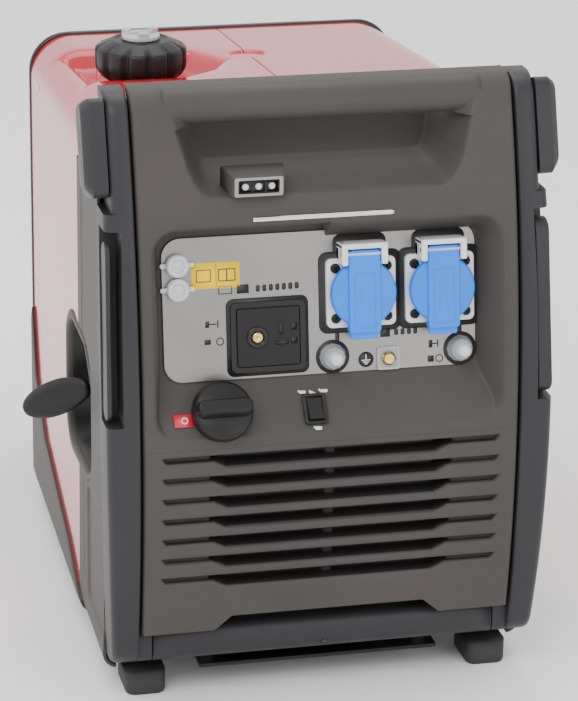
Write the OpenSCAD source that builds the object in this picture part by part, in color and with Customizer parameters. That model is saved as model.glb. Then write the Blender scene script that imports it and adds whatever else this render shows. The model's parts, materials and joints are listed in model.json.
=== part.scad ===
// Portable inverter generator: moulded front frame and control panel, two red side covers
// that meet along the top, a tapered rear cover, and the engine set inside.
// Front faces -Y, up is +Z, the floor is z = 0. The casing's middle plane is x = mid_x, so that the
// starter grip on the left and the corner pads lie evenly about x = 0.

/* [Casing] */
// Overall length, front face to the back of the rear cover
total_l = 622; // [560:1:760]
// Width over the corner pads
pads_w = 379; // [360:1:460]
// Height to the crown of the grip bar
total_h = 498; // [485:1:600]
// Radius of the bowed front
front_r = 861; // [780:1:1400]
// Height at which the front reaches furthest forward
front_z = 190; // [170:1:210]
// Wall of the red covers and skirts
skin_t = 3; // [2.4:0.1:3.8]
// Wall of the front panel
panel_t = 4; // [3:0.1:5]
// Radius of the casing's shoulders
shoulder_r = 34; // [28:1:44]
// How much narrower each side is at the rear rim
side_taper = 11; // [6:1:16]
// How much lower the top is at the rear rim
top_fall = 30; // [20:1:40]
// Depth of the rear cover behind the rim
rear_l = 161; // [150:1:190]
// Gap between neighbouring mouldings
seam = 0.6; // [0.5:0.1:1]

/* [Front frame] */
// Width of a corner pillar
pillar_w = 27; // [25:1:32]
// Depth of a corner pillar
pillar_d = 34; // [28:1:40]
// How far a pad stands out from its pillar
pad_t = 9.5; // [7:0.5:12]
// Height of a pad
pad_h = 77; // [60:1:90]
// Height of the lower cross bar
bar_h = 29; // [24:1:32]
// Clear height of the casing above the floor
foot_h = 20; // [18:1:26]

/* [Grip] */
// Height of the grip bar section
grip_h = 30; // [26:1:34]
// Depth of the grip bar section
grip_d = 34; // [28:1:38]
// Finger room behind and under the grip bar
finger_gap = 34; // [30:1:42]
// Height of the hand opening under the bar
hand_h = 50; // [44:1:56]

/* [Control panel] */
// Half width of the recess mouth
mouth_x = 140; // [136:1:144]
// Height of the recess mouth
mouth_h = 162; // [158:1:170]
// Distance from the crown down to the mouth
mouth_drop = 104; // [100:1:116]
// Half width of the aluminium plate
plate_x = 125; // [122:1:127]
// Height of the aluminium plate
plate_h = 118; // [114:1:122]
// Thickness of the plate
plate_t = 1.5; // [1:0.1:2.5]
// Tilt of the plate from upright
plate_tilt = 9; // [7:1:11]
// Slope of the shelf from upright
shelf_tilt = 37; // [34:1:40]
// Side of a mains socket flange
flange_w = 56; // [52:1:58]
// Diameter of a socket lid
lid_d = 53; // [50:1:55]
// Thickness of a socket lid
lid_t = 6; // [4:0.5:8]
// Side of the DC outlet
dc_w = 58; // [54:1:62]
// Diameter of the engine switch knob
knob_d = 46; // [40:1:50]
// Stroke of a breaker button
breaker_stroke = 3; // [2:0.5:4]

/* [Louvres] */
// Number of air slots
slot_n = 7; // [5:1:7]
// Pitch of the air slots
slot_pitch = 17.2; // [16:0.1:18]
// Depth of a slot at its ends
slot_thin = 3; // [2:0.5:4]
// Depth of a slot at its middle
slot_deep = 8; // [6:0.5:10]

/* [Starter] */
// Height of the recess for the grip
bezel_h = 126; // [110:1:134]
// Width of the recess for the grip
bezel_w = 132; // [110:1:140]
// How far the grip stands out past the pads
grip_reach = 23.5; // [10:0.5:30]
// Length of the pull grip
pull_l = 98; // [84:1:104]
// Radius of the rope on its reel
reel_r = 40; // [32:1:46]

/* [Fuel] */
// Diameter of the fuel cap
cap_d = 78; // [70:1:84]
// Height of the fuel cap's skirt
cap_h = 27; // [22:1:30]
// Distance of the filler from the middle plane
filler_x = 98; // [92:1:102]

/* [Wheels] */
// Radius of a wheel over its tyre
wheel_r = 55; // [46:1:68]
// Width of a wheel
wheel_w = 30; // [24:1:34]
// Radius of the axle
axle_r = 6; // [5:0.5:8]
// Radial running clearance on the axle and the pins
run_c = 0.05; // [0.02:0.01:0.09]

/* [Engine] */
// Radius of the crankshaft
crank_r = 12.5; // [10:0.5:14]
// Height of the crankshaft
crank_z = 185; // [180:1:190]
// Radius of the flywheel fan
fan_r = 74; // [66:1:80]

/* [Hidden] */
// Set-back of the pads, radius of the vent disc, height of the knob's base
pad_set = 1.5;
vent_r = 16;
knob_base = 8.5;
$fn = 64;

mid_x = grip_reach / 2;
front_edge = -total_l / 2;
back_edge = total_l / 2;
rim_y = back_edge - rear_l;
pillar_out = pads_w / 2 - pad_t;
panel_x = pillar_out - pillar_w - 1.5;
pad_in = pillar_out - 9;
body_x = pillar_out - 5;
body_front = front_edge + 5;
body_top = total_h - 26;
body_z = foot_h;
panel_z = foot_h + 44;
mouth_top = total_h - mouth_drop;
mouth_z = mouth_top - mouth_h;
mouth_tilt = atan((front_y(mouth_top) - front_y(mouth_z)) / mouth_h);
plate_z = mouth_z + 36;
plate_y = front_y(mouth_z) + 27;
hand_top = total_h - grip_h;
hand_z = hand_top - hand_h;
hand_x = panel_x - 31;
grip_y = front_y(total_h - grip_h / 2) + grip_d / 2;
pocket_back = grip_y + grip_d / 2 + finger_gap;
bar_z = foot_h + 15;
louvre_x = panel_x - 15;
louvre_top = panel_z + 33 + slot_n * slot_pitch;
lid_hinge_s = 98;
lid_hinge_n = 17;
socket_s = 66;
socket_x = [28, 92];
breaker_x = [5, 109];
breaker_s = 15;
dc_x = -47;
dc_s = 35;
dc_jack_x = dc_x - 9;
jack_x = -118;
jack_s = [95, 76];
jack_r = 9;
earth_x = 50;
earth_s = 11;
knob_x = -88;
knob_s = -25;
eco_x = -13;
eco_s = -27;
bezel_y = front_edge + 103 + bezel_w / 2;
bezel_z = 211;
rope_z = crank_z + reel_r;
slot_z = 245;
slot_h = 148;
handle_t = 4.5;
handle_y = front_y(slot_z + 12) + 13;
handle_z = slot_z + 13;
handle_l = slot_h - 27;
handle_tilt = atan((front_y(slot_z + slot_h) - front_y(slot_z)) / slot_h);
pad_tilt = asin((total_h - pad_h / 2 - front_z) / front_r);
axle_y = back_edge - 76;
wheel_x = 133;
lug_x = wheel_x - wheel_w / 2 - 6;
pan_x = 99.5;
fuel_y = -18;
engine_x = 3;
engine_y = 22;
cover_y = front_edge + 174;
skirt_pts = [[rim_y, 190], [rim_y - 22, 130], [rim_y - 80, 90], [-79, 54], [-146, body_z + 8]];
panel_c = [0.42, 0.40, 0.39];
frame_c = [0.33, 0.33, 0.34];
dark_c = [0.16, 0.15, 0.15];
red_c = [0.80, 0.10, 0.16];

// Depth of the bowed front at height z
function front_y(z) = -total_l / 2 + front_r - sqrt(front_r * front_r - (z - front_z) * (z - front_z));
// Half width of the casing at depth y
function side_x(y) = body_x - side_taper * (y - body_front) / (rim_y - body_front);
// Height of the casing's top at depth y
function top_z(y) = body_top - top_fall * (y - body_front) / (rim_y - body_front);

// Rectangle with round corners, centred
module rrect(w, h, r) {
    square([w - 2 * r, h], center = true);
    square([w, h - 2 * r], center = true);
    for (x = [-1, 1], y = [-1, 1]) translate([x * (w / 2 - r), y * (h / 2 - r)]) circle(r);
}
// Outline in the Y-Z plane, run along X from x0 to x1
module along_x(x0, x1) translate([x0, 0, 0]) rotate([90, 0, 90]) linear_extrude(x1 - x0) children();
// Outline in the X-Z plane, run along Y from y0 to y1
module along_y(y0, y1) translate([0, y1, 0]) rotate([90, 0, 0]) linear_extrude(y1 - y0) children();
// Box between two corners
module block(a, b) translate(a) cube(b - a);
module rod_x(x0, x1, y, z, r) translate([x0, y, z]) rotate([0, 90, 0]) cylinder(r = r, h = x1 - x0);
module rod_y(y0, y1, x, z, r) translate([x, y1, z]) rotate([90, 0, 0]) cylinder(r = r, h = y1 - y0);
module rod_z(z0, z1, x, y, r) translate([x, y, z0]) cylinder(r = r, h = z1 - z0);
// Moves the casing's middle plane to where the whole part is centred
module placed() translate([mid_x, 0, 0]) children();
// Frames on the aluminium plate and on the shelf: X right, Y up the face, Z out of it
module on_plate(x, s) translate([x, plate_y + s * sin(plate_tilt), plate_z + s * cos(plate_tilt)])
    rotate([90 - plate_tilt, 0, 0]) children();
module on_shelf(x, s) translate([x, plate_y + s * sin(shelf_tilt), plate_z + s * cos(shelf_tilt)])
    rotate([90 - shelf_tilt, 0, 0]) children();
// Everything behind the bowed front, set back by depth d
module behind_front(d) translate([0, front_edge + front_r, front_z]) rotate([0, 90, 0])
    cylinder(r = front_r - d, h = 2 * pads_w, center = true, $fn = 360);

// Casing without its hollow, shrunk by d
module casing(d) hull() for (end = [0, 1]) {
    y = end == 0 ? body_front : rim_y;
    half = side_x(y) - d;
    for (side = [-1, 1]) {
        translate([side * (half - shoulder_r + d), y, top_z(y) - shoulder_r])
            rotate([90, 0, 0]) cylinder(r = shoulder_r - d, h = 0.2, center = true, $fn = 32);
        translate([side * (half - 12 + d), y, body_z + 12])
            rotate([90, 0, 0]) cylinder(r = 12 - d, h = 0.2, center = true, $fn = 32);
    }
}
module casing_shell() difference() {
    casing(0);
    casing(skin_t);
}
// Side view of the red covers
module cover_side() polygon(concat([[pocket_back + 4, total_h], [front_edge + 30, total_h],
    [front_edge + 30, body_top - 42], [front_edge + 63, body_top - 42], [cover_y, body_top - 56], [cover_y, 170],
    [cover_y + 7, body_z + 20], [-146, body_z + 9]],
    [for (i = [3:-1:0]) [skirt_pts[i].x, skirt_pts[i].y + 1]], [[rim_y - seam, total_h]]));
module hand_pocket_zone(grow) block([-hand_x - 4 - grow, front_edge - 5, hand_z - 8 - grow],
    [hand_x + 4 + grow, pocket_back + 3 + grow, total_h + 5]);

// Oval mouth of the starter recess, seen from the side
module bezel_outline(grow) translate([bezel_y, bezel_z]) rrect(bezel_w + 2 * grow, bezel_h + 2 * grow, 34 + grow);

// Front panel
module recess_cut(grow) intersection() {
    hull() for (n = [[12, mouth_x + 8, 0], [-34, plate_x - 3, -8]])
        translate([n[0] > 0 ? 0 : -5, front_y(mouth_z), mouth_z])
        rotate([90 - mouth_tilt, 0, 0]) translate([0, (mouth_h + n[2]) / 2, n[0]])
            linear_extrude(0.1) rrect(2 * n[1] + 2 * grow, mouth_h + n[2] + 2 * grow, 18, $fn = 32);
    along_x(-mouth_x - 20, mouth_x + 20) polygon([
        [plate_y + grow, plate_z - grow * 0.6],
        [plate_y + grow + 150 * sin(plate_tilt), plate_z + 150 * cos(plate_tilt)],
        [front_edge - 60, plate_z + 150],
        [front_edge - 60, plate_z - grow * 1.6 - (plate_y - front_edge + 60) / tan(shelf_tilt)]]);
}
module slot_outline(z) polygon([[-louvre_x, z], [louvre_x, z], [louvre_x, z - slot_thin],
    [louvre_x * 0.70, z - slot_thin], [louvre_x * 0.62, z - slot_deep], [-louvre_x * 0.62, z - slot_deep],
    [-louvre_x * 0.70, z - slot_thin], [-louvre_x, z - slot_thin]]);
module front_panel() color(panel_c) placed() difference() {
    union() {
        intersection() {
            difference() {
                behind_front(0);
                behind_front(panel_t);
            }
            along_y(front_edge - 1, front_edge + 140) polygon([[-panel_x, panel_z], [-92, panel_z],
                [-78, panel_z + 12], [78, panel_z + 12], [92, panel_z], [panel_x, panel_z],
                [panel_x, hand_top + 4], [-panel_x, hand_top + 4]]);
        }
        intersection() {
            recess_cut(3);
            behind_front(0.5);
        }
        intersection() {
            block([-hand_x - 4, front_edge, hand_z - 8], [hand_x + 4, pocket_back + 3, hand_top]);
            behind_front(0.5);
        }
        for (side = [-1, 1]) along_x(side > 0 ? hand_x : -panel_x, side > 0 ? panel_x : -hand_x)
            translate([grip_y, total_h - grip_h / 2]) rrect(grip_d, grip_h, 13);
        along_x(-hand_x - 1, hand_x + 1) translate([grip_y, total_h - grip_h / 2]) rrect(grip_d, grip_h, 13);
    }
    recess_cut(0);
    along_y(front_edge - 10, pocket_back) translate([0, hand_z + (hand_h + 30) / 2])
        difference() {
            rrect(2 * hand_x, hand_h + 30, 16);
            translate([0, hand_h / 2]) square([2 * panel_x, 30], center = true);
        }
    block([-hand_x, grip_y + grip_d / 2, hand_z + 20], [hand_x, pocket_back, total_h + 1]);
    for (i = [0:slot_n - 1])
        along_y(front_edge - 5, front_edge + 40) slot_outline(louvre_top - i * slot_pitch);
    on_shelf(knob_x, knob_s) cylinder(r = 9, h = 20, center = true);
    on_shelf(eco_x, eco_s) cube([14.4, 22.4, 20], center = true);
    for (s = jack_s) on_plate(jack_x, s) cylinder(r = jack_r + 0.2, h = 30, center = true);
    for (x = socket_x) on_plate(x, socket_s) cylinder(r = 23.5, h = 30, center = true);
    for (x = breaker_x) on_plate(x, breaker_s) cylinder(r = 8.5, h = 30, center = true);
    on_plate(dc_x, dc_s) cube([dc_w - 8, dc_w - 12, 30], center = true);
    on_plate(earth_x, earth_s) cylinder(r = 7, h = 30, center = true);
    translate([-57, front_y(hand_z + 9) + panel_t, hand_z + 9]) cube([53, 60, 20.6], center = true);
}

// Corner pillars, pads and the lower bar
module pillar() difference() {
    union() {
        intersection() {
            behind_front(0.4);
            difference() {
                block([panel_x + 1.5, front_edge, bar_z], [pillar_out, front_edge + 130, total_h - 2]);
                translate([0, pillar_d, 0]) behind_front(0);
            }
        }
        block([panel_x - 10, front_y(bar_z) + 3, bar_z], [panel_x + 8, front_y(bar_z) + 28, bar_z + bar_h]);
    }
    along_x(pillar_out - 13, pillar_out + 1) translate([handle_y, handle_z]) rotate(-handle_tilt)
        translate([-16, slot_h / 2 - 13]) square([56, slot_h], center = true);
    rod_x(pillar_out - 22, pillar_out, handle_y, handle_z, 3 + run_c);
    along_x(pad_in, pads_w) translate([front_y(total_h - pad_h / 2) + pillar_d / 2 - pad_set, total_h - 6 - pad_h / 2])
        rotate(-pad_tilt) square([70, pad_h + 14], center = true);
}
module left_pillar() color(frame_c) placed() mirror([1, 0, 0]) pillar();
module right_pillar() color(frame_c) placed() pillar();
module pad_block() translate([0, front_y(total_h - pad_h / 2) + pillar_d / 2 - pad_set, total_h - 6 - pad_h / 2])
    rotate([-pad_tilt, 0, 0]) hull() {
        along_x(pad_in + 0.3, pillar_out + 4) rrect(pillar_d - 2, pad_h, 6, $fn = 32);
        along_x(pillar_out + pad_t - 0.2, pillar_out + pad_t) rrect(20, pad_h - 12, 5, $fn = 32);
    }
module pad() difference() {
    pad_block();
    intersection() {
        translate([0, pillar_d, 0]) behind_front(0);
        along_x(pad_in - 5, body_x + seam) square(4 * total_h, center = true);
    }
}
module corner_pads() color(frame_c) placed() {
    pad();
    mirror([1, 0, 0]) pad();
}
module cross_bar() color(frame_c) placed() difference() {
    along_x(-panel_x + 10 + seam, panel_x - 10 - seam)
        translate([front_y(bar_z) + 3 + 13, bar_z + bar_h / 2]) rrect(26, bar_h, 9);
    rod_y(front_edge, 0, 0, bar_z + 6, 2.2);
}
module front_feet() color(dark_c) placed() for (side = [-1, 1])
    translate([side * 143.5, front_edge + 56, 0]) linear_extrude(foot_h) rrect(33, 46, 8);

// Grey side walls between the pillars and the red covers
module surround(side) intersection() {
    casing_shell();
    translate([0, pillar_d + seam, 0]) behind_front(0);
    along_x(side > 0 ? 100 : -220, side > 0 ? 220 : -100) polygon([
        [front_edge, body_z - 1], [-147, body_z - 1], [-147.2, body_z + 9], [cover_y + 7 - seam, body_z + 20],
        [cover_y - seam, 170], [cover_y - seam, body_top - 57], [front_edge + 63, body_top - 43],
        [front_edge, body_top - 43]]);
}
module left_surround() color(panel_c) placed() difference() {
    surround(-1);
    along_x(-220, -100) bezel_outline(seam);
}
module right_surround() color(panel_c) placed() surround(1);

// Red covers
module cover(side) difference() {
    intersection() {
        casing_shell();
        translate([0, pillar_d + seam, 0]) behind_front(0);
        along_x(side > 0 ? engine_x + seam / 2 : -220, side > 0 ? 220 : engine_x - seam / 2) cover_side();
    }
    hand_pocket_zone(seam);
    rod_z(body_top - 60, total_h, engine_x, engine_y, 16 + 0.3);
}
module left_cover() color(red_c) placed() difference() {
    union() {
        cover(-1);
        rod_z(top_z(fuel_y) - 22, top_z(fuel_y) - 1, -filler_x, fuel_y, 56);
    }
    rod_z(top_z(fuel_y) - 19, total_h, -filler_x, fuel_y, 53);
    rod_z(top_z(fuel_y) - 30, total_h, -filler_x, fuel_y, 28);
    along_x(-220, -100) bezel_outline(seam);
}
module right_cover() color(red_c) placed() cover(1);

// Grey skirts under the red covers, up to the rear rim
module skirt(side) intersection() {
    difference() {
        casing(-2);
        casing(skin_t);
    }
    along_x(side > 0 ? 100 : -220, side > 0 ? 220 : -100)
        polygon(concat([for (p = skirt_pts) p], [[-146, body_z - 3], [rim_y, body_z - 3]]));
}
module left_skirt() color(panel_c) placed() skirt(-1);
module right_skirt() color(panel_c) placed() skirt(1);

// Rear cover
module rear_form(d) hull() {
    for (end = [[rim_y + 0.1, 2, 0], [rim_y + 14, 1, 0], [back_edge - 34, -20, 1], [back_edge - 0.2, -40, 1]]) {
        half = side_x(rim_y) + end[1] - d;
        top = top_z(rim_y) + end[1] * 1.3 - d;
        low = (end[2] == 0 ? body_z - 2 : body_z + 14) + d;
        translate([0, end[0] - (end[0] > rim_y + 20 ? d : 0), (top + low) / 2])
            rotate([90, 0, 0]) linear_extrude(0.2, center = true)
                rrect(2 * half, top - low, 34 - d, $fn = 32);
    }
}
module rear_cover() color(frame_c) placed() difference() {
    rear_form(0);
    difference() {
        rear_form(skin_t);
        block([-68, back_edge - 42, 340], [68, back_edge + 1, 388]);
    }
    block([-150, rim_y - 1, body_z + 20], [150, rim_y + 2, top_z(rim_y) - 20]);
    block([-64, back_edge - 38, 344], [64, back_edge + 1, 378]);
    block([-44, back_edge - 39, 350], [44, back_edge - 20, 372]);
    for (side = [-1, 1]) block([side > 0 ? wheel_x - wheel_w / 2 - 5 : -220, axle_y - wheel_r - 6, -1],
        [side > 0 ? 220 : -wheel_x + wheel_w / 2 + 5, axle_y + wheel_r + 6, 2 * wheel_r + 6]);
    block([-wheel_x, rim_y + 20, body_z - 10], [wheel_x, axle_y + 25, body_z + skin_t + 14]);
    for (i = [0:10]) translate([-85 + i * 17, back_edge, 250]) cube([7, 30, 110], center = true);
    rod_y(back_edge - 20, back_edge + 1, -45, 150, 17);
}

// Base pan and wheels
module base_pan() color(dark_c) placed() difference() {
    union() {
        block([-pan_x, front_edge + 34, body_z], [pan_x, rim_y - seam, body_z + 3]);
        block([-lug_x, rim_y - 34, body_z + 6], [lug_x, axle_y + 24, body_z + 9]);
        block([-pan_x, rim_y - 34, body_z], [pan_x, rim_y - 31, body_z + 9]);
        for (side = [-1, 1]) block([side * (lug_x - 4) - 4, axle_y - 16, body_z + 6],
            [side * (lug_x - 4) + 4, axle_y + 16, wheel_r + 14]);
    }
    rod_x(-pads_w / 2, pads_w / 2, axle_y, wheel_r, axle_r + run_c);
}
module axle() color("silver") placed() {
    rod_x(-wheel_x - wheel_w / 2 - 4, wheel_x + wheel_w / 2 + 4, axle_y, wheel_r, axle_r);
    for (side = [-1, 1]) rod_x(side > 0 ? wheel_x + wheel_w / 2 + 0.5 : -wheel_x - wheel_w / 2 - 3.5,
        side > 0 ? wheel_x + wheel_w / 2 + 3.5 : -wheel_x - wheel_w / 2 - 0.5, axle_y, wheel_r, axle_r + 4);
}
module hub(side) difference() {
    union() {
        rod_x(side * wheel_x - wheel_w / 2, side * wheel_x + wheel_w / 2, axle_y, wheel_r, 15);
        rod_x(side * wheel_x - 4, side * wheel_x + 4, axle_y, wheel_r, wheel_r - 16);
        difference() {
            rod_x(side * wheel_x - wheel_w / 2 + 3, side * wheel_x + wheel_w / 2 - 3, axle_y, wheel_r, wheel_r - 15);
            rod_x(side * wheel_x - wheel_w / 2, side * wheel_x + wheel_w / 2, axle_y, wheel_r, wheel_r - 20);
        }
    }
    rod_x(side * wheel_x - wheel_w, side * wheel_x + wheel_w, axle_y, wheel_r, axle_r + run_c);
}
module tyre(side) translate([side * wheel_x, axle_y, wheel_r]) rotate([0, 90, 0]) rotate_extrude($fn = 96)
    difference() {
        translate([wheel_r - 10, 0]) rrect(20, wheel_w - 4, 8);
        translate([0, -wheel_w]) square([wheel_r - 15, 2 * wheel_w]);
    }
module left_hub() color("silver") placed() hub(-1);
module right_hub() color("silver") placed() hub(1);
module left_tyre() color(dark_c) placed() tyre(-1);
module right_tyre() color(dark_c) placed() tyre(1);

// Control plate and what is on it
module control_plate() color([0.78, 0.77, 0.76]) placed() difference() {
    on_plate(0, 0) linear_extrude(plate_t) difference() {
        translate([-4, plate_h / 2]) rrect(2 * plate_x, plate_h - 5, 15);
        for (x = socket_x) translate([x, socket_s]) circle(23.5);
        for (x = breaker_x) translate([x, breaker_s]) circle(8.5);
        for (s = jack_s) translate([jack_x, s]) circle(jack_r + 0.2);
        translate([dc_x, dc_s]) square([dc_w - 8, dc_w - 12], center = true);
        translate([earth_x, earth_s]) circle(7);
    }
}
module socket_body(x) on_plate(x, socket_s) {
    translate([0, 0, plate_t]) linear_extrude(5) difference() {
        rrect(flange_w, flange_w - 2, 4);
        circle(20);
        for (i = [-1, 1], j = [-1, 1]) translate([i * 21, j * 20]) circle(2);
    }
    translate([0, 0, -28]) difference() {
        cylinder(r = 23, h = 28 + plate_t);
        translate([0, 0, 10]) cylinder(r = 20, h = 40);
        for (i = [-1, 1]) translate([i * 9.5, 0, 2]) cylinder(r = 2.6, h = 20);
    }
    difference() {
        for (i = [-1, 1]) translate([i * 15.5 - 2, lid_hinge_s - socket_s - 8, plate_t + 4.9])
            cube([4, 14, lid_hinge_n - plate_t - 1]);
        translate([0, lid_hinge_s - socket_s, lid_hinge_n]) rotate([0, 90, 0])
            cylinder(r = 1.5 + run_c, h = 40, center = true);
    }
}
module left_socket() color("white") placed() socket_body(socket_x[0]);
module right_socket() color("white") placed() socket_body(socket_x[1]);
module socket_screws() color(dark_c) placed() for (x = socket_x, i = [-1, 1], j = [-1, 1])
    on_plate(x + i * 21, socket_s + j * 20) translate([0, 0, plate_t + 1]) {
        cylinder(r = 1.9, h = 4);
        translate([0, 0, 4]) cylinder(r = 3.6, h = 2);
    }
module socket_lid(x) on_plate(x, lid_hinge_s) translate([0, 0, lid_hinge_n]) {
    translate([0, socket_s - lid_hinge_s, -lid_t - 2]) cylinder(r = lid_d / 2, h = lid_t);
    translate([-12, socket_s - lid_hinge_s - lid_d / 2 - 4, -lid_t - 2])
        cube([24, lid_d / 2 + lid_hinge_s - socket_s + 4, lid_t + 3]);
    rotate([0, 90, 0]) cylinder(r = 3, h = 24, center = true);
    rotate([0, 90, 0]) cylinder(r = 1.5, h = 30, center = true);
}
module left_lid() color([0.30, 0.66, 0.95]) placed() socket_lid(socket_x[0]);
module right_lid() color([0.30, 0.66, 0.95]) placed() socket_lid(socket_x[1]);
module breaker(x) on_plate(x, breaker_s) {
    translate([0, 0, -12]) cylinder(r = 8, h = 16);
    translate([0, 0, 4]) cylinder(r1 = 10.5, r2 = 8, h = 6);
    translate([0, 0, 9]) cylinder(r = 5, h = 9);
}
module left_breaker() color([0.85, 0.88, 0.9]) placed() breaker(breaker_x[0]);
module right_breaker() color([0.85, 0.88, 0.9]) placed() breaker(breaker_x[1]);
module dc_outlet() color(dark_c) placed() on_plate(dc_x, dc_s) difference() {
    union() {
        translate([0, 0, plate_t]) linear_extrude(2.5) rrect(dc_w, dc_w - 4, 5);
        translate([-dc_w / 2 + 5, -dc_w / 2 + 7, -16]) cube([dc_w - 10, dc_w - 14, 16 + plate_t]);
    }
    translate([dc_jack_x - dc_x, 0, -5]) cylinder(r = 5, h = 20);
    translate([10, 6, -5]) cube([3, 9, 30], center = true);
    translate([11, -5, -5]) cube([9, 3, 30], center = true);
}
module dc_breaker() color("gold") placed() on_plate(dc_jack_x, dc_s) translate([0, 0, -1])
    cylinder(r = 4.6, h = 8);
module parallel_jacks() color(dark_c) placed() for (s = jack_s) on_plate(jack_x, s)
    translate([0, 0, -16]) difference() {
        cylinder(r = jack_r, h = 16 + plate_t + 2);
        translate([0, 0, 4]) cylinder(r = 5.5, h = 30);
    }
module jack_cap(s) on_plate(jack_x, s) {
    translate([0, 0, plate_t + 2.3]) cylinder(r1 = 9.4, r2 = 8.4, h = 5);
    translate([0, 0, -6]) cylinder(r = 5.2, h = 10);
    for (i = [-1, 1]) translate([i * 10 - 3, -2, plate_t + 2.3]) cube([6, 4, 1.6]);
}
module upper_jack_cap() color("white") placed() jack_cap(jack_s[0]);
module lower_jack_cap() color("white") placed() jack_cap(jack_s[1]);
module earth_terminal() color("silver") placed() on_plate(earth_x, earth_s) difference() {
    union() {
        translate([0, 0, plate_t]) linear_extrude(1.5) rrect(18, 18, 2);
        translate([0, 0, -14]) cylinder(r = 6.5, h = 15);
    }
    translate([0, 0, -10]) cylinder(r = 2.5, h = 20);
}
module earth_screw() color("gold") placed() on_plate(earth_x, earth_s) {
    translate([0, 0, -9]) cylinder(r = 2.4, h = 13);
    translate([0, 0, 4]) cylinder(r = 4.5, h = 3);
}
module engine_switch() color(dark_c) placed() on_shelf(knob_x, knob_s) {
    translate([0, 0, -12]) cylinder(r = 8, h = 14);
    translate([0, 0, 1]) cylinder(r1 = knob_d / 2, r2 = knob_d / 2 - 1, h = knob_base);
    translate([0, 0, 13]) cube([knob_d - 6, 11, 10], center = true);
}
module eco_switch() color(dark_c) placed() on_shelf(eco_x, eco_s) {
    rotate([0, 90, 0]) cylinder(r = 8, h = 12, center = true);
    translate([0, 0, 3]) cube([12, 18, 6], center = true);
}
module indicator_box() color(panel_c) placed() difference() {
    translate([-57, front_y(hand_z + 9) + 1, hand_z + 9]) cube([52, 16, 20], center = true);
    translate([-57, front_y(hand_z + 9) - 8, hand_z + 9]) cube([42, 10, 12], center = true);
}
module indicator_lenses() color("white") placed() for (i = [-1, 0, 1])
    translate([-57 + i * 14, front_y(hand_z + 9) - 5, hand_z + 9]) cube([11, 3, 11], center = true);

// Starter
module starter_bezel() color(panel_c) placed() difference() {
    intersection() {
        along_x(-pillar_out - 2, -130) bezel_outline(0);
        union() {
            casing(-1.5);
            casing(0);
        }
    }
    along_x(-pillar_out - 3, -133) bezel_outline(-7);
    rod_x(-140, -120, bezel_y, rope_z, 6);
}
module starter_grip() color(dark_c) placed() hull() {
    translate([-168, bezel_y + 22, rope_z - 16]) sphere(r = 8, $fn = 24);
    translate([-184, bezel_y + 35, rope_z - 28]) sphere(r = 9, $fn = 24);
    translate([-pads_w / 2 - grip_reach + 6, bezel_y + 48, rope_z - 40]) sphere(r = 6, $fn = 24);
}
module starter_reel() color("white") placed() difference() {
    union() {
        rod_y(engine_y - 172, engine_y - 169, engine_x, crank_z, reel_r + 8);
        rod_y(engine_y - 169, engine_y - 155, engine_x, crank_z, reel_r);
        rod_y(engine_y - 155, engine_y - 152, engine_x, crank_z, reel_r + 8);
    }
    rod_y(engine_y - 180, engine_y - 140, engine_x, crank_z, 8 + run_c);
}
module starter_housing() color(dark_c) placed() difference() {
    union() {
        rod_y(engine_y - 178, engine_y - 130, engine_x, crank_z, fan_r + 8);
        block([engine_x - 70, engine_y - 178, foot_h + 3], [engine_x + 70, engine_y - 172.5, crank_z]);
    }
    rod_y(engine_y - 174, engine_y - 120, engine_x, crank_z, fan_r + 4);
    block([-220, engine_y - 170, rope_z - 8], [-30, engine_y - 150, rope_z + 8]);
    for (a = [0:45:315]) translate([engine_x, 0, crank_z]) rotate([0, a, 0])
        rod_y(engine_y - 180, engine_y - 170, 0, 62, 7);
    rod_y(engine_y - 180, engine_y - 165, engine_x, crank_z, 7.9);
}
module starter_post() rod_y(engine_y - 174, engine_y - 150, engine_x, crank_z, 8);

// Engine set
module engine_block() color("silver") placed() difference() {
    union() {
        block([engine_x - 88, engine_y - 45, 56], [engine_x + 88, engine_y + 70, 64]);
        block([engine_x - 58, engine_y - 40, 64], [engine_x + 62, engine_y + 60, crank_z + 55]);
        rod_y(engine_y - 60, engine_y - 40, engine_x, crank_z, 30);
    }
    rod_y(engine_y - 70, engine_y + 56, engine_x, crank_z, crank_r + run_c);
}
module cylinder_node() difference() {
    union() {
        rod_z(crank_z + 55, crank_z + 140, engine_x, engine_y, 34);
        for (i = [0:7]) rod_z(crank_z + 60 + i * 9, crank_z + 63 + i * 9, engine_x, engine_y, 47);
        block([engine_x - 38, engine_y - 34, crank_z + 132], [engine_x + 38, engine_y + 34, crank_z + 158]);
    }
    rod_z(crank_z + 50, crank_z + 130, engine_x, engine_y, 28);
    rod_z(crank_z + 120, crank_z + 160, engine_x, engine_y, 7 + run_c);
}
module spark_plug() color("white") placed() {
    rod_z(crank_z + 136, crank_z + 160, engine_x, engine_y, 7);
    rod_z(crank_z + 158.5, crank_z + 166, engine_x, engine_y, 10);
    rod_z(crank_z + 166, crank_z + 200, engine_x, engine_y, 6);
}
module carburettor() color("silver") placed() {
    block([engine_x + 58, engine_y + 6, crank_z + 85], [engine_x + 100, engine_y + 70, crank_z + 120]);
    rod_z(crank_z + 65, crank_z + 85, engine_x + 80, engine_y + 40, 18);
}
module air_cleaner() color(dark_c) placed() {
    block([engine_x + 104, engine_y - 70, crank_z + 60], [engine_x + 146, engine_y + 80, crank_z + 150]);
    rod_x(engine_x + 100, engine_x + 104, engine_y + 40, crank_z + 103, 14);
}
module fuel_hose() color(dark_c) placed() rod_x(-30, engine_x + 58, engine_y + 56, crank_z + 100, 4);
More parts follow.
